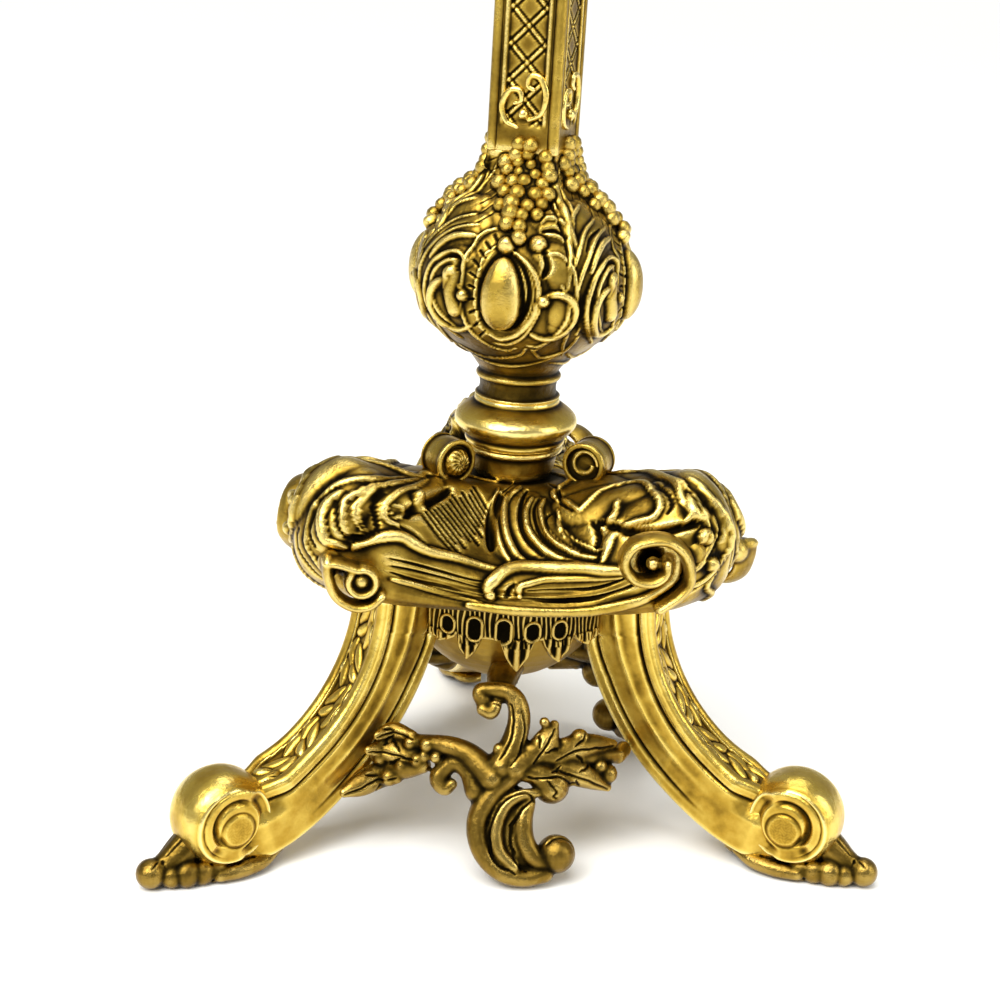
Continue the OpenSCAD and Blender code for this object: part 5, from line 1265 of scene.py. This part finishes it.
bunches = [bunch(PANEL + 90 * side) for side in range(4)]
points = [p for middles, _ in bunches for p in middles]
sizes = [r for _, radii in bunches for r in radii]
finish_piece(lay_beads("grapes", points, sizes, CHASED), "stand", CHASED, "baluster", depth=5.0)
# painted shade: the bulb's skin round each grape is darkened where the bunch would shadow it
bulb_skin = places(skin)
shade = np.zeros(len(bulb_skin))
for middle, radius in zip(points, sizes):
    away = np.linalg.norm(bulb_skin - middle, axis=1)
    shade = np.maximum(shade, 0.9 - 0.9 * ease(away, radius + 0.2, radius + 1.6))
paint_shade(skin, shade)
print(len(points), "grapes")

# %% [markdown]
# ## Turned parts
# Collar, ring knop, upper ring, capital, nozzle socket, drip pan and candle cup come off the lathe. Each is its
# closed profile, spun. Where the real one is fluted or gadrooned, the radius swells and sinks as it goes round.
# Two rings of pearls, laid by the bead tree, finish the capital's foot and the candle cup's flange.

# %% A lathe
def even_profile(rows, step=0.75):
    """A closed profile with points at an even step, and its corners just broken."""
    rows = np.asarray(list(rows) + [rows[0]], float)
    out = []
    for a, b in zip(rows[:-1], rows[1:]):
        n = max(1, int(np.linalg.norm(b - a) / step))
        out.append(a + (b - a) * np.linspace(0, 1, n, endpoint=False)[:, None])
    out = np.vstack(out)
    return 0.25 * np.roll(out, 1, 0) + 0.5 * out + 0.25 * np.roll(out, -1, 0)

def half_round(r0, z0, r1, z1, rise, n=8):
    """A half-round moulding in a profile, between two points, standing out by rise."""
    s = np.linspace(0, 1, n + 1)
    return list(zip(r0 + (r1 - r0) * s + rise * np.sin(np.pi * s), z0 + (z1 - z0) * s))

def lathe(name, rows, around=160, swell=None, step=0.75):
    r, z = even_profile(rows, step).T
    theta = np.linspace(0, 2 * np.pi, around, endpoint=False)[:, None]
    if swell is not None:
        more_r, more_z = swell(theta, r, z)
        r, z = r + more_r, z + more_z
    return ring_piece(name, polar(r, theta, z))

print("points in a half-round:", len(half_round(10, 0, 10, 2, 1)))

# %% Collar and ring knop
ROD_HOLE = 4.4
seat = COLLAR_R - 3.5
collar = lathe("socket_collar_skin",
               [(ROD_HOLE, DOME_Z), (seat - 1, DOME_Z), (seat, DOME_Z + 1.5), (COLLAR_R - 1.9, SEAM_Z - 3.2)]
               + half_round(COLLAR_R - 1.4, SEAM_Z - 2.9, COLLAR_R - 0.8, SEAM_Z - 0.2, 1.0) + [(ROD_HOLE, SEAM_Z)])
finish_piece(collar, "stand", CHASED, "socket_collar")
KNOP_R = 23.5
knop = lathe("ring_knop_skin", [(ROD_HOLE, SEAM_Z), (COLLAR_R - 0.8, SEAM_Z)]
             + half_round(COLLAR_R - 0.4, SEAM_Z + 0.3, COLLAR_R + 0.2, SEAM_Z + 2.9, 0.6)
             + half_round(COLLAR_R + 0.2, SEAM_Z + 3.5, NECK_R + 1.4, KNOP_TOP - 2.2,
                          KNOP_R - (COLLAR_R + NECK_R + 1.6) / 2, 24)
             + [(NECK_R + 1.5, KNOP_TOP - 1.9), (NECK_R + 1.7, KNOP_TOP - 0.6), (NECK_R + 1, KNOP_TOP),
                (ROD_HOLE, KNOP_TOP)])
finish_piece(knop, "stand", GILT, "ring_knop")

# %% Upper ring, capital and nozzle socket
RING_R = 23.0
ring_up = lathe("upper_ring_skin", [(ROD_HOLE, SHAFT_TOP), (RING_R - 4, SHAFT_TOP)]
                + half_round(RING_R - 4, SHAFT_TOP + 0.5, RING_R - 5, CAPITAL_Z - 0.5, 4.5, 18)
                + [(RING_R - 5, CAPITAL_Z), (ROD_HOLE, CAPITAL_Z)])
finish_piece(ring_up, "stand", GILT, "upper_ring")
CAPITAL_R, CAPITAL_H = 31.0, SOCKET_Z - CAPITAL_Z
capital_shape = [(0, 0.42), (0.08, 0.4), (0.18, 0.46), (0.32, 0.66), (0.46, 0.88), (0.58, 0.99), (0.68, 1),
                 (0.77, 0.93), (0.84, 0.78), (0.9, 0.62), (0.95, 0.54), (1, 0.52)]

def capital_leaves(theta, r, z):
    """Eight broad leaves with a sunk rib climb the vase and lap over at its shoulder."""
    up = np.clip((z - CAPITAL_Z) / CAPITAL_H, 0, 1)
    petal = np.abs(np.cos(4 * theta)) ** 0.6
    rib = notch(np.abs(np.sin(4 * theta)), 0, 0.10) * (up < 0.7)
    tip = notch(up - 0.5, 0.14 * petal, 0.035)
    veins = 0.2 * np.cos(40 * theta + 9 * up) * (up > 0.12) * (up < 0.62)
    fade = ease(up, 0.08, 0.2) * (1 - ease(up, 0.72, 0.8))
    return (r > 8) * (fade * (1.5 * petal - 1.0 + veins) - 0.8 * rib * fade + 1.0 * tip * fade), 0

vase = [(CAPITAL_R * out, CAPITAL_Z + CAPITAL_H * up) for up, out in smooth_line(capital_shape, 5)]
capital = lathe("leafy_capital", [(ROD_HOLE, CAPITAL_Z)] + vase + [(ROD_HOLE, SOCKET_Z)], 272, capital_leaves, 0.9)
finish_piece(capital, "stand", GILT, "capital")
SOCKET_R, SPIGOT_R, SOCKET_FLOOR = 17.0, 9.6, SOCKET_Z + 3.0

def flutes(count, depth, low, high, inner):
    """Flutes between two heights, outside a radius, as a swell for the lathe."""
    def swell(theta, r, z):
        fade = ease(z, low, low + 2.5) * (1 - ease(z, high - 2.5, high)) * (r > inner)
        return -fade * depth * np.abs(np.sin(count * theta / 2)) ** 0.7, 0
    return swell

socket = lathe("nozzle_socket_skin", [(ROD_HOLE, SOCKET_Z), (SOCKET_R - 2, SOCKET_Z)]
               + half_round(SOCKET_R - 2, SOCKET_Z + 1, SOCKET_R - 2.6, SOCKET_Z + 7, 2, 12)
               + [(SOCKET_R - 4, SOCKET_Z + 9), (SOCKET_R - 3.4, SOCKET_TOP - 7), (SOCKET_R - 1, SOCKET_TOP - 3),
                  (SOCKET_R, SOCKET_TOP - 2), (SOCKET_R, SOCKET_TOP), (SPIGOT_R + 0.3, SOCKET_TOP),
                  (SPIGOT_R + 0.3, SOCKET_FLOOR), (ROD_HOLE, SOCKET_FLOOR)],
               168, flutes(24, 0.7, SOCKET_Z + 9, SOCKET_TOP - 5, 12.0))
finish_piece(socket, "stand", GILT, "nozzle_socket")

# %% Drip pan and candle cup
PAN_R, PAN_DEPTH, PAN_T = 46.0, 5.0, 2.0
CUP_Z = PAN_Z + PAN_T
RIM_Z = PAN_Z + PAN_DEPTH
wall = PAN_Z + 0.4 * PAN_DEPTH

def gadroons(theta, r, z):
    """Slanting lobes round the pan's rim."""
    fade = ease(r, PAN_R * 0.7, PAN_R * 0.82)
    return 0, fade * 0.45 * np.abs(np.cos(20 * theta)) ** 0.8 - 0.3 * fade

pan = lathe("drip_pan_skin",
            [(SPIGOT_R + 0.1, PAN_Z), (PAN_R * 0.45, PAN_Z), (PAN_R * 0.72, PAN_Z + 0.6), (PAN_R - 5, wall),
             (PAN_R - 1.4, RIM_Z - 1)]
            + half_round(PAN_R - 1.4, RIM_Z - 1, PAN_R - 2.2, RIM_Z + 1, 1.4)
            + [(PAN_R - 4.6, RIM_Z), (PAN_R - 7.4, wall + PAN_T), (PAN_R * 0.7, CUP_Z + 0.6), (PAN_R * 0.45, CUP_Z),
               (SPIGOT_R + 0.1, CUP_Z)], 280, gadroons)
finish_piece(pan, "nozzle", GILT, "drip_pan")
CUP_R, CUP_H, FLANGE, CANDLE_R, CANDLE_Z = 19.0, CUP_TOP - CUP_Z, 16.0, 11.2, CUP_TOP - 28.0
cup = lathe("candle_cup_skin",
            [(0.3, CANDLE_Z), (0.3, PAN_Z - 18), (SPIGOT_R - 1, PAN_Z - 18), (SPIGOT_R, PAN_Z - 17), (SPIGOT_R, CUP_Z),
             (FLANGE, CUP_Z), (FLANGE, CUP_Z + 1.6), (FLANGE - 3, CUP_Z + 3), (FLANGE - 7, CUP_Z + 6)]
            + half_round(FLANGE - 7, CUP_Z + 6.4, FLANGE - 7, CUP_Z + 10, 2, 12)
            + [(FLANGE - 7.4, CUP_Z + 12), (CUP_R - 7, CUP_Z + 16), (CUP_R - 3, CUP_Z + 21), (CUP_R - 2, CUP_Z + 28),
               (CUP_R - 3, CUP_Z + CUP_H * 0.66), (CUP_R - 4, CUP_Z + CUP_H * 0.8), (CUP_R - 2.6, CUP_TOP - 5)]
            + half_round(CUP_R - 1.4, CUP_TOP - 3.4, CUP_R - 1.4, CUP_TOP, 1.4)
            + [(CANDLE_R, CUP_TOP), (CANDLE_R, CANDLE_Z)],
            160, flutes(16, 0.9, CUP_Z + 13, CUP_TOP - 6, 11.8), 1.0)
finish_piece(cup, "nozzle", GILT, "candle_cup")

# %% Ring the pearls
def pearl_ring(name, reach, height, radius, body, node):
    """Pearls side by side in a ring about the stem's axis."""
    turn = np.linspace(0, 2 * np.pi, int(2 * np.pi * reach / (2.05 * radius)), endpoint=False)
    pearls = lay_beads(name, polar(reach, turn, height), np.full(len(turn), radius), GILT)
    finish_piece(pearls, body, GILT, node)

pearl_ring("capital_pearls", 14.4, CAPITAL_Z + 0.8, 1.3, "stand", "capital")
pearl_ring("cup_pearls", FLANGE + 0.9, CUP_Z + 1.0, 1.2, "nozzle", "candle_cup")

# %% [markdown]
# ## The aprons
# Each apron is a panel of one drum, cut off beside the legs. Its front is striated upright, with five deep ovals in
# bright rims, and its lower edge hangs down in five ribbed tongues. It is laid out on a grid: round the drum, and from
# the top edge down to the fringe. Two lugs at the back take its screws.

# %% Shape an apron's front
APRON_R, APRON_T, APRON_H = 45.0, 3.0, 27.0
OVALS = [(0.6, -35), (1.8, -21), (2.1, -7), (0.9, 7), (0.7, 21)]
OVAL_R, OVAL_Z = 2.4, LEG_TOP - 11.5
STRIA = 2.1
FRINGE = [(-39, 8, 0.25), (-24, 6, 0.7), (0, 8, 1), (21, 8, 0.75), (39, 8, 0.35)]
FRINGE_H = 11.0
NOTCH_Z = LEG_TOP - APRON_H + FRINGE_H

def fringe_z(azimuth):
    """Lower edge of the apron at an azimuth from the face's middle, and how far across its tongue that is."""
    z, share = np.full_like(azimuth, NOTCH_Z + 1.0), np.ones_like(azimuth)
    for middle, half, length in FRINGE:
        u = (azimuth - middle) / half
        inside = np.abs(u) <= 1
        tip = NOTCH_Z - FRINGE_H * length * np.clip(1 - np.abs(u) ** 1.5, 0, 1) ** 0.9
        z = np.where(inside & (tip < z), tip, z)
        share = np.where(inside, np.minimum(np.abs(u), share), share)
    return z, share

def oval_reach(across, z, length, middle):
    """Distance in mm to the middle line of an upright oval."""
    return np.hypot(across - math.radians(middle) * APRON_R, np.clip(np.abs(z - OVAL_Z) - length, 0, None))

def apron_height(azimuth, z, share):
    """Relief of an apron's front, in mm."""
    across = np.radians(azimuth) * APRON_R
    wave = 1.2 * np.sin(0.5 * across + 0.35 * z)
    striae = 0.34 * np.cos(across * 2 * np.pi / STRIA + wave) * ease(LEG_TOP - z, 1.0, 2.5)
    height = striae * (z > NOTCH_Z - 2)
    tongue = (z < NOTCH_Z + 1.5)
    height = height + tongue * (1.5 * np.sqrt(np.clip(1 - share ** 2, 0, 1)) + 0.6 * np.cos(share * 9.0) - 1.0)
    for length, middle in OVALS:
        reach = oval_reach(across, z, length, middle)
        height = np.where(reach < OVAL_R + 1.2, 0.7 * bump(reach, OVAL_R + 0.5, 0.65), height)
        height = np.where(reach < OVAL_R, -2.6 * ease(OVAL_R - reach, 0, 0.6), height)
    return np.maximum(height, 0.8 * bump(LEG_TOP - z, 1.4, 1.4))

print(len(FRINGE), "tongues and", len(OVALS), "ovals on an apron")

# %% Cast the aprons
def half_angle(reach):
    """How many degrees an apron reaches to each side, at a distance from the stem's axis."""
    return 60 - math.degrees(math.asin((LEG_W / 2 + 0.3) / reach))

LUG_FACES = [(0, 1, 3, 2), (4, 6, 7, 5), (0, 4, 5, 1), (2, 3, 7, 6), (0, 2, 6, 4), (1, 5, 7, 3)]

def apron(azimuth0):
    back_r = APRON_R - APRON_T
    half, back_half = half_angle(APRON_R), half_angle(back_r)
    azimuth = np.linspace(-half, half, 230)[:, None]
    edge, share = fringe_z(azimuth)
    z = LEG_TOP + (edge - LEG_TOP) * np.linspace(0, 1, 74)
    front = polar(APRON_R - 0.1 + apron_height(azimuth, z, share), np.radians(azimuth), z)
    back = polar(back_r, np.radians(azimuth * back_half / half), z)[:, ::-1]
    grid = np.concatenate([front, back[:, ::12]], 1)
    across, along = grid.shape[:2]
    faces = grid_faces(across, along, wrap_across=False, wrap_along=True)
    faces += [[end + k for k in range(along)] for end in (0, (across - 1) * along)]
    drum = mesh_piece("drum", turned(grid.reshape(-1, 3), azimuth0), faces)
    work = bmesh.new()
    work.from_mesh(drum.data)
    bmesh.ops.triangulate(work, faces=[f for f in work.faces if len(f.verts) > 4])
    work.to_mesh(drum.data)
    work.free()
    corners = np.array([(u, v, w) for u in (back_r - 6.8, back_r + 1) for v in (-4.5, 4.5)
                        for w in (LEG_TOP - 3, LEG_TOP)])
    lugs = [outward(mesh_piece("lug", turned(corners, azimuth0 + s * 26), LUG_FACES)) for s in (-1, 1)]
    return join([outward(drum)] + lugs, "apron")

def shade_ovals(piece, azimuth0):
    """Paints shade into the ovals: their stored hollow value is raised to 1, so the metal comes out dark there as a
    shadow would make it.
    """
    co = turned(places(piece), -azimuth0)
    across = np.arctan2(co[:, 1], co[:, 0]) * APRON_R
    inside = [oval_reach(across, co[:, 2], length, middle) < OVAL_R - 0.1 for length, middle in OVALS]
    paint_shade(piece, np.any(inside, axis=0))

for face, azimuth in FACE_AZIMUTHS.items():
    piece = apron(azimuth)
    piece.name = "apron_skin_" + face
    # a small depth makes the painted shade and highlight from the hollow value stronger on this apron
    finish_piece(piece, "stand", TONED, "apron_" + face, rounds=(8, 60), depth=0.15)
    shade_ovals(piece, azimuth)

# %% [markdown]
# ## The set
# The stand is photographed on a pale, plain ground under soft light. A large soft box stands at the upper left in
# front, a weaker one at the right, and a broad one hangs overhead. The room itself is grey, so that the metal has
# something dark to mirror between the boxes. A wide soft sun keeps the ground white to the picture's edge.

# %% Lay the floor and hang the lights
floor_paint = bpy.data.materials.new("matt white floor")
floor_paint.use_nodes = True
floor_paint.node_tree.nodes["Principled BSDF"].inputs["Base Color"].default_value = linear("#FAFAF8")
floor_paint.node_tree.nodes["Principled BSDF"].inputs["Roughness"].default_value = 0.85
FLOOR = 400000
corners = [(-FLOOR, -FLOOR, 0), (FLOOR, -FLOOR, 0), (FLOOR, FLOOR, 0), (-FLOOR, FLOOR, 0)]
floor = mesh_piece("floor", corners, [(0, 1, 2, 3)])
floor.data.materials.append(floor_paint)

def soft_box(name, place, size, power):
    """A square lamp that faces the stand's middle."""
    data = bpy.data.lights.new(name, "AREA")
    data.shape, data.size, data.size_y, data.energy = "RECTANGLE", size[0], size[1], power
    lamp = new_object(name, data)
    lamp.location = place
    lamp.rotation_euler = (Vector((0, 0, 0.15)) - Vector(place)).to_track_quat("-Z", "Y").to_euler()

soft_box("key box", (-0.9, -0.9, 1.15), (0.55, 0.8), 13)
soft_box("fill box", (1.2, -0.6, 0.7), (0.35, 0.9), 6)
soft_box("top box", (0.1, 0.5, 1.6), (1.0, 0.6), 5)
sky = bpy.data.lights.new("soft sun", "SUN")
sky.energy, sky.angle = 2.5, math.radians(50)
sun = new_object("soft sun", sky)
sun.rotation_euler = (math.radians(24), math.radians(-16), 0)
world = bpy.data.worlds.new("grey room")
world.use_nodes = True
world.node_tree.nodes["Background"].inputs["Color"].default_value = linear("#B4B4B0")
world.node_tree.nodes["Background"].inputs["Strength"].default_value = 0.9
bpy.context.scene.world = world
bpy.context.scene.view_settings.view_transform = "Standard"
